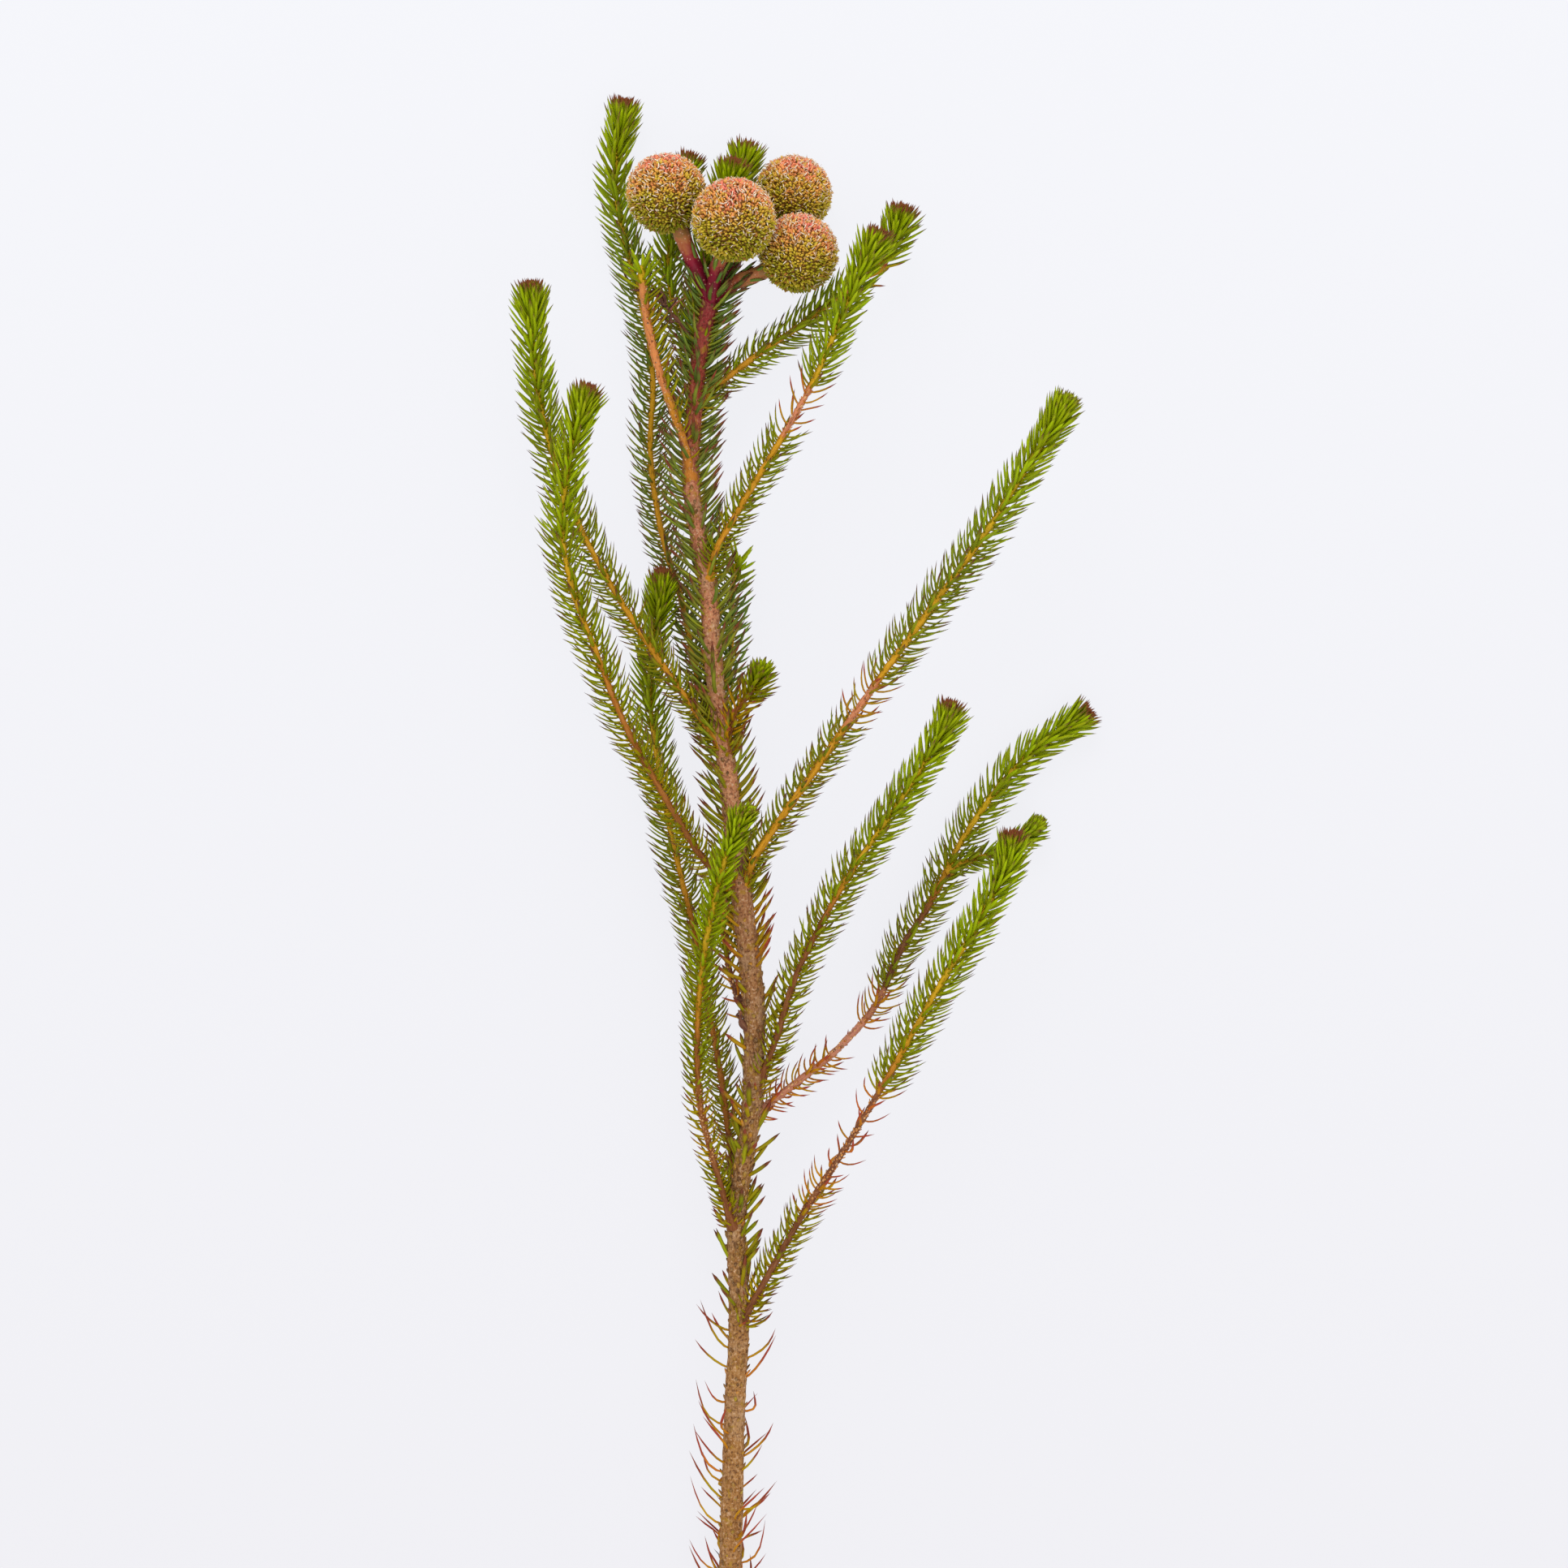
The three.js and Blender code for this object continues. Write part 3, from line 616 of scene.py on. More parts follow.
LOWER_LEAVES = {**STEM_LEAVES, "grown": by_height([
    (-200, 2.2), (-125, 2.1), (-108, 1.4), (-88, 0.35), (-76, 0.5), (-69, 1.6), (-22, 1.5), (-18, 0.5),
    (4, 0.7), (9, 0)])}
grow("lower_stem_leaves", "main_stem", stem_line, LOWER_LEAVES, needle_leaves, {
    **LEAF_SIZES, "Needle Width": 0.95 * MM, "Needle Thickness": 0.8 * MM, "Lean Spread": 24.0,
    "Turn Spread": 1.5, "Length Spread": 0.3, "Seed": 40})
STEM_SCARS = {
    **PLAIN_NEEDLES,
    "thickness": lambda run, rest: 1.2 * wood_thickness(run, rest),
    "grown": by_height([(-75, 2.8), (-60, 4.2), (10, 4.2), (30, 2.5)]),
    "lean": 30,
    "reach": 1.7 * MM,
    "hook": 0.1,
    "age": by_height([(-200, 0.62), (-30, 0.6), (20, 0.7), (157, 0.9)]),
    "breadth": by_height([(-75, 0.8), (-60, 1.0), (157, 0.9)]),
}


def scar_material(name, stops, worn):
    """Dry leaf cushions, each in a colour from the ramp, worn pale in places and dark at the point."""
    material, where, shader = new_material(name, 0.75, 0.12)
    dry = colour_ramp(attribute(where.tree, "tint"), stops)
    chafed = blended(ranged(noise(where, 1800.0), 0.45, 0.7, 0.6), dry, worn)
    point = ranged(attribute(where.tree, "along"), 0.7, 1.0, 0.7)
    blended(point, chafed, (0.07, 0.03, 0.02)).feeds(shader["Base Color"])
    return material


leaf_scar = scar_material("leaf_scar", [
    (0, (0.12, 0.05, 0.018)), (0.45, (0.28, 0.13, 0.03)), (0.7, (0.35, 0.18, 0.03)),
    (0.85, (0.36, 0.25, 0.02)), (1, (0.58, 0.2, 0.02))], (0.48, 0.32, 0.16))
SCAR_SIZES = {"Needle Width": 0.95 * MM, "Needle Thickness": 0.6 * MM, "Lean Spread": 9.0, "Seed": 500,
              "Turn Spread": 0.8, "Length Spread": 0.35, "Leaf": leaf_scar}
grow("main_stem_scars", "main_stem", stem_line, STEM_SCARS, needle_leaves, SCAR_SIZES)


# The shoots: thin woody twigs, green at the tip and orange to brown below, that grow out of the main
# stem through a small collar. Each is dressed with needles to its tip, but for worn bare stretches.

# A shoot has a radius and an age at its foot, a route, and a radius at its tip. The points of its
# youngest needles are brown unless it has a least age, mature. Teal is its blue tinge, brush the
# width of its brush, and plump how full that is.
Shoot = namedtuple("Shoot", "name foot old route tip mature teal brush plump bare",
                   defaults=(0.6, 0.0, 0.0, 1.0, 1.0, ()))
# A bare stretch has the shares of the shoot where it starts and ends, how bare and how pink it is,
# and how far to the right a needle there has to face.
Bare = namedtuple("Bare", "start end how pink side", defaults=(0.0, EVERY_WAY))
SHOOTS = [
    Shoot("centre_front", 0.85, 0.64, [
        (-16.5, -50, 16.5), (-18.5, -44, 18.5), (-21.5, -33, 21), (-24, -22, 24), (-24.5, -7.5, 28),
        (-23.5, 7, 32), (-21, 21.5, 37), (-18, 33, 41), (-15, 40, 44), (-13.5, 42, 45)],
        mature=0.05, brush=0.8, bare=[Bare(0.16, 0.34, 0.3)]),
    Shoot("left_front", 0.95, 0.62, [
        (-15, 24.5, 22), (-17.5, 27.5, 23.8), (-22, 30.5, 25.5), (-29.5, 42, 28), (-40.5, 62, 31),
        (-47, 78.5, 32), (-52, 92, 33), (-54, 106, 33), (-52, 120.5, 34), (-49.5, 130, 35),
        (-48.5, 133, 35)]),
    Shoot("left_outer", 0.9, 0.5, [
        (-18.5, 55.5, 21.4), (-22.5, 61, 22.5), (-30, 71.5, 22.5), (-39.5, 85.5, 22), (-49, 102, 21),
        (-55, 116, 19), (-59.5, 132.5, 18), (-61, 145, 19), (-61.5, 157, 20)], teal=0.1),
    Shoot("right_upper", 1.0, 0.45, [
        (-15, 24.5, 22), (-12.5, 31, 24), (-8.5, 37.5, 25), (3, 54, 28), (15, 71, 30), (27, 87.5, 31),
        (39, 104, 32), (46.5, 116, 32), (53.5, 127, 33), (55.5, 131, 34)],
        tip=0.65, mature=0.03, teal=0.2, bare=[Bare(0.35, 0.43, 0.5, 1)]),
    Shoot("right_middle", 0.9, 0.66, [
        (-12.5, -21.5, 18.3), (-10, -15, 20), (-7, -7, 22), (-3, 6, 24), (7, 25.5, 27), (19, 43.5, 29),
        (29, 59.5, 31), (30.5, 64, 31)], teal=0.05),
    Shoot("right_lower", 0.9, 0.74, [
        (-15.5, -72, 13.9), (-11, -64, 17), (-1.5, -47, 19), (8, -32, 21), (18, -15, 23), (27.5, 2, 24),
        (37.5, 18.5, 25), (43.5, 30.5, 26), (44.5, 35.5, 27)],
        bare=[Bare(0.24, 0.31, 0.4), Bare(0.31, 0.49, 0.85)]),
    Shoot("right_forked", 0.95, 0.85, [
        (-13, -26, 18), (-9.5, -23, 16.5), (-3.5, -18.5, 14), (5.5, -11.5, 11), (15, -1, 8.5),
        (20.5, 11, 6.5), (28, 23, 5.4), (34, 35, 4.6), (45, 50.5, 4.2), (54, 58.5, 4.2), (61.5, 63.5, 4.5)],
        tip=0.65, teal=0.05,
        bare=[Bare(0, 0.2, 0.5, 0.9), Bare(0.2, 0.28, 0.97, 1), Bare(0.28, 0.35, 0.5, 0.6)]),
    Shoot("right_fork", 0.75, 0.4, [
        (30.8, 28.8, 4.9), (35.5, 31, 4.7), (43, 33.5, 4.7), (48.5, 36.5, 5), (51.5, 39.5, 5.3)],
        tip=0.55, mature=0.04, teal=0.15, brush=0.75),
    Shoot("right_top_front", 0.85, 0.5, [
        (-22.5, 92.5, 19.5), (-20.5, 100, 22), (-14.5, 110.5, 24), (-5.5, 125.5, 26), (0.5, 136, 28),
        (5.5, 147, 29), (11, 159.5, 30), (14.5, 167.5, 31)],
        teal=0.1, brush=1.1, bare=[Bare(0.45, 0.58, 0.8, 1)]),
    Shoot("right_top_back", 0.85, 0.5, [
        (-25.2, 132, 16.5), (-21, 136.5, 14.5), (-11.5, 144, 13), (-3, 150, 12), (8, 158, 12),
        (15, 163.5, 12), (19, 170, 13), (20.5, 175, 14)],
        teal=0.1, brush=1.25, bare=[Bare(0.68, 0.8, 0.8, 0.9)]),
    Shoot("left_back", 0.9, 0.6, [
        (-15.8, -43, 16.4), (-17, -36, 13.2), (-19.5, -17.5, 11), (-22.5, -1, 10), (-26, 17.5, 10),
        (-30, 34, 9.5), (-34, 55, 10), (-35.5, 69.5, 11), (-35, 78.5, 12), (-33.5, 86.5, 14),
        (-32.5, 93.5, 16)], teal=0.1),
    Shoot("left_tall", 0.9, 0.45, [
        (-19.2, 58, 21.3), (-22.5, 65, 17), (-24.8, 72.5, 13.5), (-28.5, 89.5, 9), (-33, 105, 6),
        (-35.5, 122.5, 4.5), (-35, 140.5, 4.3), (-38, 158, 4.3), (-42, 173.5, 4.4), (-43.5, 185.5, 4.8),
        (-42, 196, 5.5), (-41.5, 199.5, 6)], teal=0.55),
    Shoot("left_bare", 1.12, 0.55, [
        (-26, 115, 17.5), (-27, 121.5, 18.8), (-29.5, 129.5, 20.5), (-33, 139.5, 22), (-35.5, 150, 23),
        (-36.5, 157.5, 24), (-37, 162.5, 24)],
        tip=1.02, mature=0.5, brush=0.95, plump=0,
        bare=[Bare(0.05, 0.45, 0, 0.1, 0.25), Bare(0.45, 0.9, 0, 0.9, 0.25)]),
    Shoot("top_left", 0.8, 0.35, [
        (-24.2, 141.5, 16.4), (-27, 147, 11.5), (-30, 155, 7.5), (-31.5, 164.5, 5.5), (-30.5, 171.5, 5),
        (-29, 181, 5), (-27, 187.5, 5.2)], teal=0.1, brush=1.05),
    Shoot("top_back", 0.8, 0.3, [
        (-23, 147.5, 16.5), (-21.8, 154, 11.8), (-19.8, 164, 7.5), (-17, 177, 5.8), (-14, 190, 5.3)],
        brush=1.15),
    Shoot("top_front", 0.8, 0.3, [
        (-23.8, 144, 16.5), (-25, 155, 13.6), (-22.5, 166, 13.4), (-19.5, 176, 13.8), (-17, 185, 15)],
        brush=1.25),
    Shoot("inner_right", 0.75, 0.55, [
        (-18, 54, 21.3), (-17.3, 60, 23.5), (-15.5, 65, 25), (-12.5, 69, 27.5), (-10.5, 73, 29)],
        mature=0.6, brush=0.9, plump=0.6),
    Shoot("inner_back", 0.75, 0.45, [
        (-20.3, 67, 21.1), (-17.5, 75, 13.5), (-17.2, 83.5, 9.5), (-17, 91.5, 7.5), (-16, 98.5, 7)],
        mature=0.38, teal=0.8, brush=0.95, plump=0),
    Shoot("centre_short", 0.75, 0.95, [
        (-12.6, -4, 19.7), (-16, 2, 17.5), (-17.5, 6.5, 16.5), (-18.5, 12.5, 16), (-19.5, 19, 16),
        (-19, 24.5, 16.5)], mature=0.3, brush=0.85, plump=0.5, bare=[Bare(0.1, 0.5, 0.6)]),
]
TWIG_SLENDERNESS = 0.72


def twig_material():
    """Thin bark: yellow-green at the tip, orange below, brown at the foot and salmon where bare."""
    material, where, shader = new_material("twig_bark", 0.6, 0.12)
    grain = add(where.tree, "ShaderNodeGroup", {"Fibre Width": 0.0003}, node_tree=bark_grain)
    age = attribute(where.tree, "age")
    young = colour_ramp(age, [
        (0, (0.34, 0.34, 0.004)), (0.25, (0.58, 0.36, 0.004)), (0.45, (0.58, 0.27, 0.006)),
        (0.54, (0.44, 0.15, 0.01)), (0.62, (0.2, 0.06, 0.016)), (1, (0.13, 0.045, 0.028))])
    worn = colour_ramp(age, [(0.5, (0.58, 0.19, 0.06)), (0.9, (0.5, 0.2, 0.13))])
    bare = blended(attribute(where.tree, "pink"), young, worn)
    streaked = blended(grain["Streaks"] * 0.22, bare, (0.55, 0.34, 0.14))
    blended(grain["Splits"] * 0.7, streaked, (0.1, 0.04, 0.02)).feeds(shader["Base Color"])
    bumped(shader, grain["Height"], 0.6, 0.0002)
    return material


def from_foot(stops, size=1):
    return lambda run, rest: size * between(stops, run)


def from_tip(stops, size=1):
    return lambda run, rest: size * between(stops, rest)


def shoot_values(shoot, whole):
    """What changes along a shoot so many millimetres long: for its bark, its leaves, and the cushions
    of the leaves that it has lost along its bare stretches."""
    brush, plump = shoot.brush, shoot.plump
    stretches = [(each.start * whole, each.end * whole, each) for each in shoot.bare]

    def bareness(run, rest):
        return max((each.how * between([(start - 2, 0), (start + 1, 1), (end - 1, 1), (end + 2, 0)], run)
                    for start, end, each in stretches), default=0.0)

    def pinkness(run, rest):
        return max((each.pink * (start - 1 < run < end + 1) for start, end, each in stretches), default=0.0)

    def one_side(run, rest):
        return max((each.side for start, end, each in stretches if start < run < end), default=EVERY_WAY)

    def scarred(run, rest):
        return 6.5 * any(start < run < end for start, end, each in stretches)

    def age(run, rest):
        tender = max(between([(0, 0.3 * shoot.mature), (9, shoot.mature)], rest),
                     between([(0, 0.0), (18, 0.16), (40, 0.34), (90, 0.46)], rest))
        woody = between([(0, min(shoot.old, 0.57)), (0.45 * whole, 0.2)], run)
        return max(tender, woody) + 0.45 * bareness(run, rest)

    def bark_age(run, rest):
        woody = between([(0, shoot.old), (0.45 * whole, shoot.old - 0.06), (0.7 * whole, 0.25)], run)
        return max(age(run, rest), woody)

    def needles(run, rest):
        full = between([(2.5, 0.0), (4, 1.7), (16, 2.5)], run) * between([(35, 1), (70, 0.72)], rest)
        full += between([(14, 1.4), (30, 0.2), (60, 0)], rest)
        tuft = plump * between([(0, 18), (2, 20), (4, 15), (7, 8), (12, 5)], rest)
        return max(full, tuft) * (1 - bareness(run, rest))

    def thickness(run, rest):
        collar = 0.8 * math.exp(-max(0, run - 2) / 1.5)
        taper = shoot.foot + (shoot.tip - shoot.foot) * run / whole
        return MM * (TWIG_SLENDERNESS * taper + collar - 0.3 * (rest < 0.4))

    def reach(run, rest):
        wide = min(1, brush) * between([(0, 0.72), (0.25 * whole, 0.85), (0.5 * whole, 1)], run)
        tuft = between([(0, 2.8), (1.5, 4.3), (3, 5.9), (5, 6.7), (9, 6.2), (14, 5.6), (30, 5.3),
                        (60, 5.1)], rest)
        return MM * wide * (plump * tuft + (1 - plump) * 5.3)

    def lean(run, rest):
        spread = (1 - plump) * between([(0, 15), (1, 30), (4, 34), (10, 24), (30, 8)], rest)
        fan = between([(7, max(1, brush)), (12, 1)], rest)
        return spread + fan * between([(0, 6), (1, 15), (2, 23), (3.5, 31), (6, 38), (10, 44), (20, 52),
                                       (30, 65), (44, 76), (70, 83)], rest)

    def breadth(run, rest):
        narrow = between([(0, 0.75), (4, 0.95), (20, 1), (36, 0.88)], rest)
        return narrow + (1 - plump) * between([(2, 0.4), (6, 0)], rest)

    bark = {"thickness": thickness, "age": bark_age, "pink": pinkness}
    leaves = {
        "thickness": thickness, "grown": needles, "lean": lean, "reach": reach, "age": age,
        "breadth": breadth, "side": one_side, "front": from_tip([(10, 1), (24, 0.65), (55, 0.35)]),
        "hook": from_tip([(0, 0.05), (2, 0.12), (5, 0.22), (20, 0.34), (36, 0.6), (70, 0.7)]),
        "curl": lambda run, rest: between([(0.2, 0.06), (0.55, 0.1), (0.9, 0.3)], age(run, rest)),
        "teal": from_tip([(0.1 * whole, 0), (0.32 * whole, 1)], shoot.teal),
        "blush": from_tip([(0, 0.9), (3, 0.7), (5, 0)], shoot.mature == 0),
    }
    scars = {**PLAIN_NEEDLES, "thickness": thickness, "grown": scarred, "lean": 34, "reach": 0.85 * MM,
             "hook": 0.1, "curl": 0, "breadth": 0.5, "age": 0}
    return bark, leaves, scars


pale_scar = scar_material("pale_scar", [
    (0, (0.74, 0.44, 0.2)), (0.3, (0.62, 0.26, 0.05)), (0.7, (0.45, 0.13, 0.03)),
    (1, (0.2, 0.06, 0.02))], (0.8, 0.6, 0.38))
TWIG_SIZES = {"Sides": 9, "Ring Spacing": 0.5 * MM, "Ridge Height": 0.35 * MM, "Ridge Width": 0.7 * MM,
              "Ridge Stretch": 0.5, "Bark": twig_material()}
BARE_TWIG_SIZES = {**TWIG_SIZES, "Sides": 14, "Ring Spacing": 0.35 * MM, "Ridge Height": 0.5 * MM}
for place, shoot in enumerate(SHOOTS):
    name, seed = shoot.name, 10 * place
    node = "shoot_right_forked" if name == "right_fork" else f"shoot_{name}"
    line = through(shoot.route)
    whole = sum((b - a).length for a, b in pairwise(line)) / MM
    bark, leaves, scars = shoot_values(shoot, whole)
    grow(f"twig_{name}", node, line, bark, bark_tube,
         {**(BARE_TWIG_SIZES if shoot.bare else TWIG_SIZES), "Seed": seed})
    grow(f"needles_{name}", node, line, leaves, needle_leaves, {**LEAF_SIZES, "Seed": seed})
    if shoot.bare:
        grow(f"scars_{name}", node, line, scars, needle_leaves,
             {**SCAR_SIZES, "Leaf": pale_scar, "Seed": seed})


# The withered bits: a dried bud with curled leaves beside the stalks' fork, and a black bud, a thorn
# and a broken stub lower down, each growing out of the main stem.

# How broad and long the dead leaves are, the twig's radius from its foot on, how many leaves there
# are in a millimetre from its tip on, and the twig's route.
WITHERED = [
    ("bud", 1.1, 5.2, [(0, 0.25), (7, 0.2), (9, 0.55), (10.2, 0.25)], [(0, 3), (4, 1.4), (4.1, 0)],
     [(-24.2, 145, 16.5), (-27.3, 149, 18.5), (-32, 154.4, 22.5)]),
    ("black_bud", 0.8, 1.6, [(0, 0.5), (1.5, 0.85), (2.5, 0.8), (3.2, 0.3)], [(0, 3), (1, 1), (1.1, 0)],
     [(-13.4, -6, 20.3), (-14.9, -4.2, 20.9), (-15.3, -2.4, 21)]),
    ("thorn", 0.8, 1.0, [(0, 0.45), (1, 0.3), (2.2, 0.08)], [(0, 0)],
     [(-13.8, 0.6, 20.2), (-16.6, 1.0, 20.8)]),
    ("stub", 0.8, 1.0, [(0, 1.3), (3, 1.0), (7, 0.8), (8, 0.5)], [(0, 0.5)],
     [(-14.6, 24.5, 22), (-14.9, 28, 23), (-15.2, 32.5, 25)]),
]
dead_leaf = scar_material("dead_leaf", [(0, (0.28, 0.1, 0.05)), (0.5, (0.12, 0.045, 0.03)),
                                        (1, (0.06, 0.025, 0.02))], (0.36, 0.16, 0.09))
for place, (name, breadth, length, thick, tight, route) in enumerate(WITHERED):
    seed = 700 + place
    line = through(route)
    values = {**PLAIN_NEEDLES, "age": 1.0, "pink": 0, "reach": length * MM, "hook": 0.3, "curl": 0.5,
              "breadth": breadth, "thickness": from_foot(thick, MM), "grown": from_tip(tight),
              "lean": from_tip([(0, 30), (3, 95)])}
    grow(f"dead_twig_{name}", "main_stem", line, values, bark_tube,
         {**TWIG_SIZES, "Ridge Height": 0.15 * MM, "Seed": seed})
    if name != "thorn":
        grow(f"dead_leaves_{name}", "main_stem", line, values, needle_leaves, {
            **SCAR_SIZES, "Leaf": dead_leaf, "Needle Thickness": 0.4 * MM, "Lean Spread": 30.0,
            "Seed": seed})


# The stalks: fleshy crimson stems, one under each flower head, that part at the top of the main
# stem. They turn pink-brown and pale olive just below the heads and carry cream scars.

# Each head's radius, how ripe its stalk is by the distance to the middle of the head, and the route
# of the stalk, which ends there.
HEADS = [
    ("left", 8.7, [(9, 0.95), (13, 0.7), (16, 0.3), (19, 0.1)],
     [(-21.9, 155, 17), (-24, 160.5, 17.5), (-26.5, 166, 18.5), (-31.5, 179, 20)]),
    ("front", 9.05, [(9, 0.9), (13, 0.5), (17, 0.1)],
     [(-21.6, 155.5, 17.4), (-20.5, 162, 21), (-18.5, 167, 25), (-16.5, 172, 29.6)]),
    ("back", 8.5, [(9, 0.9), (13, 0.5), (17, 0.1)],
     [(-21.6, 155, 16.5), (-17.5, 163.5, 12.5), (-14, 170.5, 9.5), (-3.5, 180.5, 7.6)]),
    ("right", 8.55, [(9, 0.95), (16, 0.75), (21, 0.3)],
     [(-21.6, 155.5, 17), (-16.5, 159.5, 17.8), (-10, 162, 19), (-2.3, 165.8, 20.2)]),
]


def stalk_material():
    """Juicy crimson that dulls to pink-brown and olive towards the head, dotted with cream scars."""
    material, where, shader = new_material("stalk_skin", 0.42, 0.2)
    mottled = noise(where, 600.0) * 0.8 + (attribute(where.tree, "ripe") - 0.4)
    skin = colour_ramp(mottled, [
        (0, (0.14, 0.004, 0.016)), (0.35, (0.24, 0.008, 0.026)), (0.55, (0.28, 0.035, 0.03)),
        (0.72, (0.36, 0.09, 0.035)), (0.88, (0.42, 0.15, 0.05)), (1, (0.3, 0.14, 0.04))])
    pits = add(where.tree, "ShaderNodeTexVoronoi", {"Vector": where, "Scale": 1100.0})["Distance"]
    blended(ranged(pits, 0.22, 0.12, 0.8), skin, (0.62, 0.34, 0.22)).feeds(shader["Base Color"])
    bumped(shader, pits, 0.4, 0.0002)
    return material


# A stalk's radius, and the narrow bracts and leaves that it carries up to its head.
STALK_VALUES = {
    **PLAIN_NEEDLES, "hook": 0.3, "age": 0.45, "teal": 0.85, "blush": 0.2, "breadth": 1.2, "front": 0.6,
    "thickness": from_foot([(0, 1.4), (6, 1.45), (16, 1.65)], MM), "lean": from_foot([(0, 40), (10, 16)]),
    "grown": lambda run, rest: between([(0, 2.4), (6, 2.0), (12, 0.6)], run) * (rest > 10),
    "reach": from_foot([(0, 5.6), (12, 3.8)], MM),
}
STALK_SIZES = {"Sides": 20, "Ring Spacing": 0.3 * MM, "Ridge Height": 0.6 * MM, "Ridge Width": 1.0 * MM,
               "Ridge Stretch": 0.6, "Bark": stalk_material()}
for place, (name, head_radius, ripeness, route) in enumerate(HEADS):
    node = f"stalk_{name}"
    line = through(route)
    values = {**STALK_VALUES, "ripe": from_tip(ripeness)}
    grow(f"stalk_skin_{name}", node, line, values, bark_tube, STALK_SIZES)
    grow(f"stalk_bracts_{name}", node, line, values, needle_leaves,
         {**LEAF_SIZES, "Seed": 300 + 10 * place})


# The flower heads: balls about 17 mm across of 2,700 tiny pointed florets, packed in an even
# spiral. They are green underneath and coral above, with dried cream styles among them.

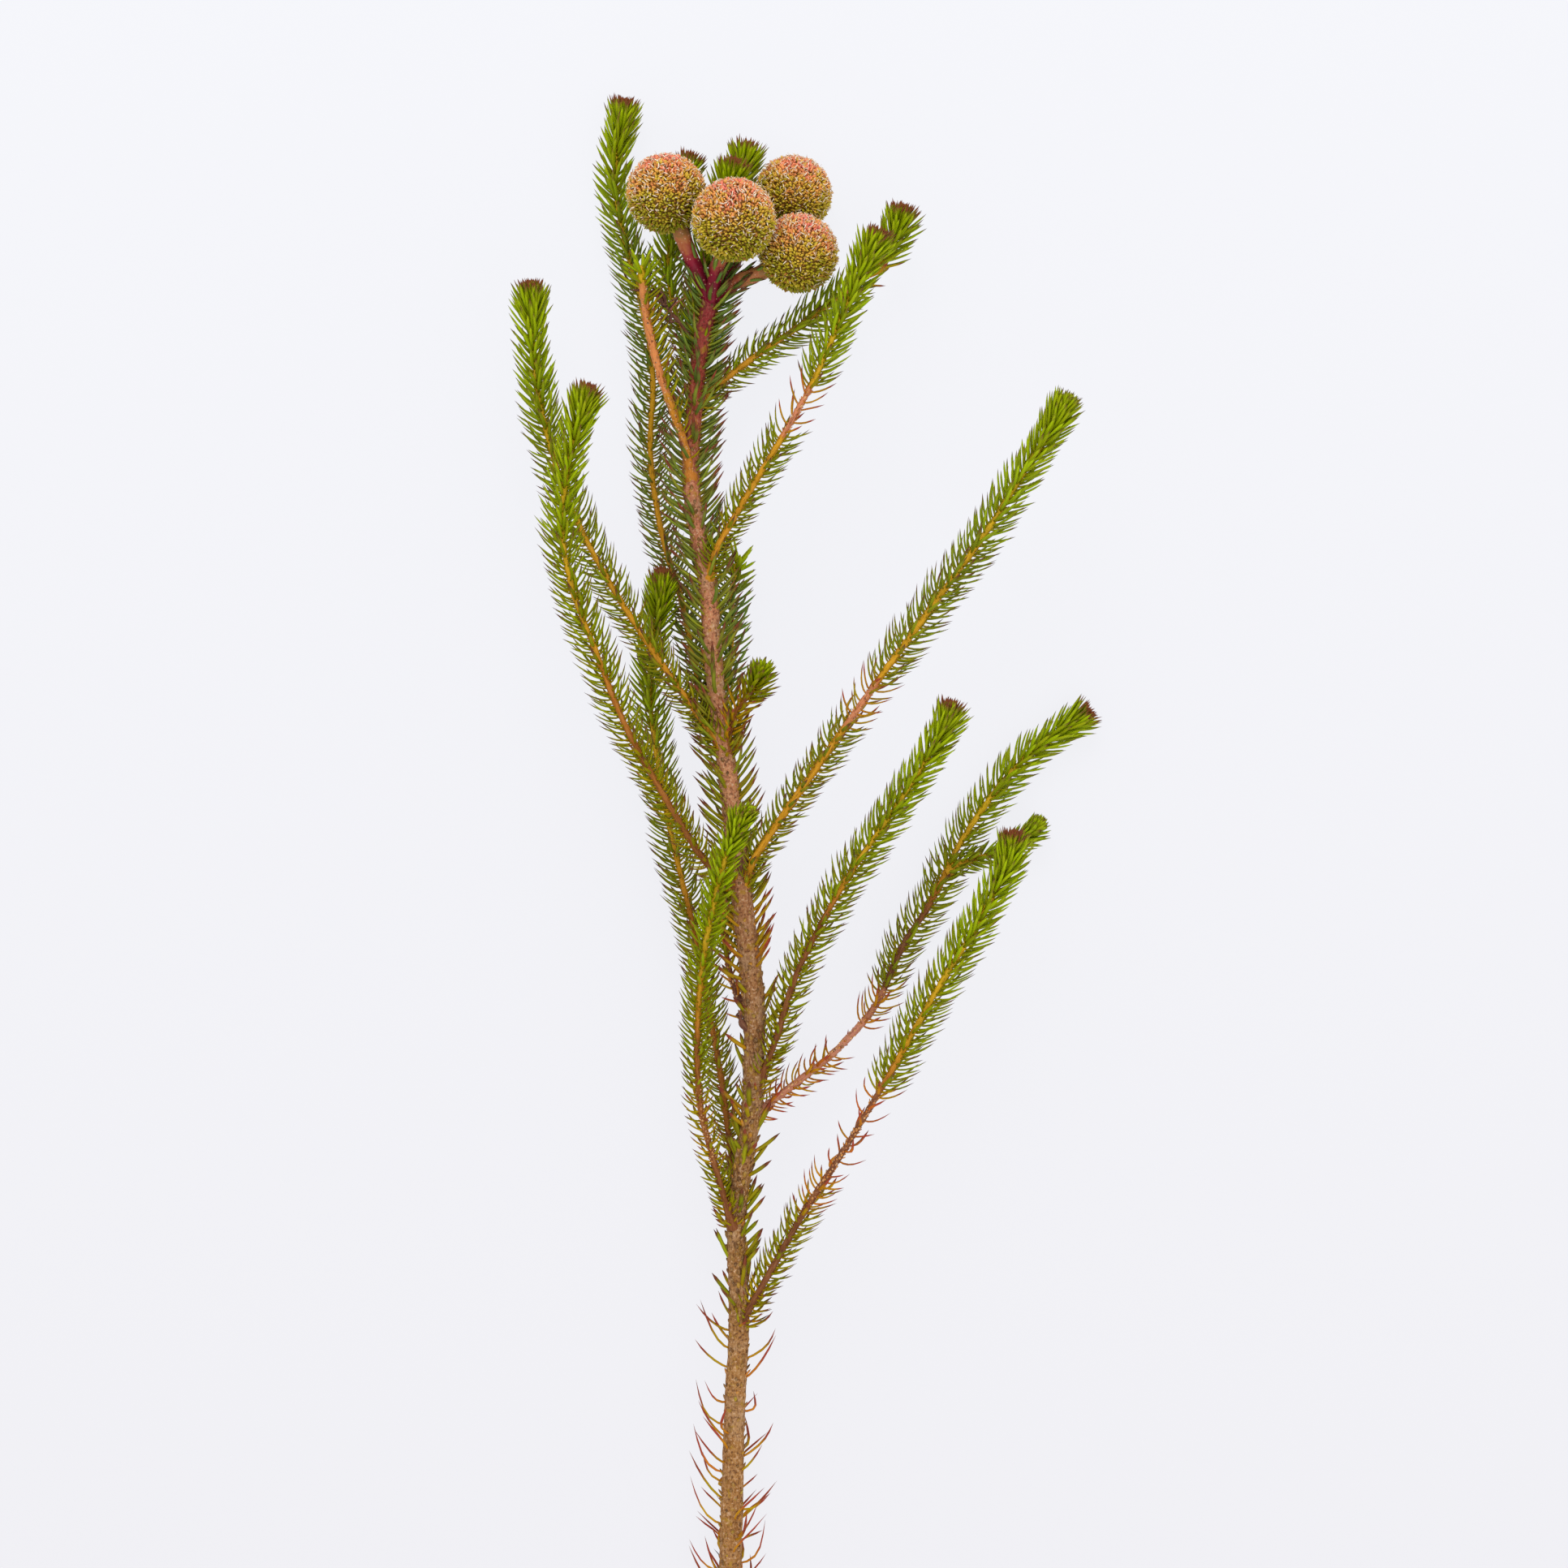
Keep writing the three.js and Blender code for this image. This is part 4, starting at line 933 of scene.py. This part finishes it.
def head_rule():
    """A ball of florets round a centre, with styles that lie on it and hairs that stand out of it."""
    tree, sizes, result = growing_rule("flower_head", {
        "Centre": (0.0, 0.0, 0.0), "Radius": 8.7 * MM, "Apex": (0.0, 1.0, 0.0), "Florets": 2700,
        "Floret Length": 1.3 * MM, "Floret Width": 0.68 * MM, "Styles": 1500, "Style Length": 1.1 * MM,
        "Style Width": 0.24 * MM, "Hairs": 90, "Seed": 0, "Floret": None, "Style": None})
    seed, apex = sizes["Seed"], sizes["Apex"]

    def jitter(draw, most):
        return chance(seed, draw, (-most,) * 3, (most,) * 3, VECTOR)

    def unit_sum(first, second):
        return vectors("NORMALIZE", vectors("ADD", first, second))

    def spread(count, draw, uneven):
        """Which way each of so many points faces, when they cover the ball in an even spiral."""
        number = add(tree, "GeometryNodeInputIndex")
        height = 1.0 - (number * 2.0 + 1.0) / count
        ring = maths("SQRT", 1.0 - height * height)
        turn = number * GOLDEN_ANGLE
        spot = vector_of(ring * maths("COSINE", turn), ring * maths("SINE", turn), height)
        return unit_sum(spot, jitter(draw, uneven))

    def upright(outward, height):
        uphill = vectors("SUBTRACT", apex, vectors("SCALE", outward, height))
        return unit_sum(outward, vectors("ADD", vectors("SCALE", uphill, 0.4), jitter(41, 0.5)))

    def fallen(outward, height):
        flat = vectors("NORMALIZE", vectors("CROSS_PRODUCT", outward, jitter(42, 1.0)))
        return unit_sum(flat, vectors("SCALE", outward, 0.45))

    def scatter(form, count, draw, uneven, forward, depth, size, material, above=False):
        """Sets a form of a width, thickness and length on the ball at each point, turned the way that
        forward says. Above keeps mostly those on the upper half."""
        outward = spread(count, draw, uneven)
        height = vectors("DOT_PRODUCT", outward, apex)["Value"]
        inward = sizes["Radius"] - size[2] * (chance(seed, draw + 5, -0.22, 0.22) + depth)
        foot = vectors("ADD", sizes["Centre"], vectors("SCALE", outward, inward))
        points = store(moved(add(tree, "GeometryNodePoints", [count]), Position=foot), "height", height)
        points = store(points, "tint", chance(seed, draw + 1))
        heading = forward(outward, height)
        rotation = add(tree, "FunctionNodeAxesToRotation", [heading, vectors("CROSS_PRODUCT", heading, apex)],
                       primary_axis="Z", secondary_axis="X")
        growth = chance(seed, draw + 2, 0.75, 1.2)
        forms = add(tree, "GeometryNodeInstanceOnPoints", {
            "Points": points, "Instance": form, "Rotation": rotation,
            "Selection": chance(seed, 43) < height * 0.5 + 0.45 if above else None,
            "Scale": vector_of(*(growth * each for each in size))})
        return finished(realized(forms), material)

    floret = tapered_form(tree, 4, 3, [(0, 0.75), (0.33, 1), (0.66, 0.95), (1, 0)])
    style = tapered_form(tree, 3, 3, [(0, 0.5), (0.33, 1), (0.66, 0.9), (1, 0)])
    floret_length, style_width = sizes["Floret Length"], sizes["Style Width"]
    floret_size = [sizes["Floret Width"] * 0.5, sizes["Floret Width"] * 0.36, floret_length]
    style_size = [style_width * 0.5, style_width * 0.5, sizes["Style Length"]]
    hair_size = [style_width * 0.16, style_width * 0.16, floret_length * 1.2]
    # The core shows only through the gaps. It has no along of its own, so it takes the florets' painted shade
    # all over and shows as dark shadow between them.
    core = add(tree, "GeometryNodeMeshIcoSphere", {
        "Radius": sizes["Radius"] - floret_length * 0.6, "Subdivisions": 4})
    core = store(moved(core["Mesh"], Offset=sizes["Centre"]), "height", -1.0)
    head = add(tree, "GeometryNodeJoinGeometry")
    for each in (
            finished(core, sizes["Floret"]),
            scatter(floret, sizes["Florets"], 10, 0.02, upright, 0.8, floret_size, sizes["Floret"]),
            scatter(style, sizes["Styles"], 20, 0.1, fallen, 0.1, style_size, sizes["Style"], above=True),
            scatter(style, sizes["Hairs"], 30, 0.1, upright, 0.3, hair_size, sizes["Style"])):
        each.feeds(head.node.inputs["Geometry"])
    above_floor(head).feeds(result)
    return tree


def floret_material():
    """Green below, olive yellow round the middle and coral on top, mottled from floret to floret, and
    darkened towards each floret's foot as painted shade in the gaps between them.
    """
    material, where, shader = new_material("floret", 0.6, 0.12)
    height, tint, along = (attribute(where.tree, label) for label in ("height", "tint", "along"))
    ripe = height * 0.42 + 0.42 + (noise(where, 260.0) * 1.2 - 0.6)
    skin = colour_ramp(ripe, [
        (0, (0.22, 0.23, 0.003)), (0.28, (0.43, 0.36, 0.01)), (0.5, (0.68, 0.42, 0.045)),
        (0.66, (0.82, 0.33, 0.1)), (0.82, (0.86, 0.26, 0.16)), (1, (0.82, 0.19, 0.16))])
    golden = blended(ranged(tint, 0.65, 1.0, 0.75), skin, (0.62, 0.5, 0.05))
    rusty = blended(ranged(tint, 0.25, 0.0, 0.7), golden, (0.42, 0.1, 0.04))
    # Painted shade: each floret darkens towards its foot, where the gaps between florets would lie in shadow.
    painted_gap_shade = blended(ranged(along, 0.55, 0.15, 0.75), rusty, (0.13, 0.07, 0.01))
    blended(ranged(along, 0.78, 1.0, 0.5), painted_gap_shade, (0.55, 0.22, 0.09)).feeds(shader["Base Color"])
    return material


def style_material():
    """Dried threads from cream to tan."""
    material, where, shader = new_material("dried_style", 0.7, 0.15)
    cream = colour_ramp(attribute(where.tree, "tint"), [
        (0, (0.85, 0.76, 0.6)), (0.7, (0.8, 0.62, 0.45)), (1, (0.5, 0.26, 0.14))])
    cream.feeds(shader["Base Color"])
    return material


flower_head = head_rule()
floret = floret_material()
dried_style = style_material()
for place, (name, head_radius, ripeness, route) in enumerate(HEADS):
    before, centre = (Vector(each) * MM for each in route[-2:])
    apex = (Vector((0, 1, 0.15)) + 0.3 * (centre - before).normalized()).normalized()
    grow(f"florets_{name}", f"head_{name}", [centre, centre + apex * MM], {}, flower_head, {
        "Centre": tuple(centre), "Radius": head_radius * MM, "Apex": tuple(apex), "Seed": 100 * place,
        "Floret": floret, "Style": dried_style})
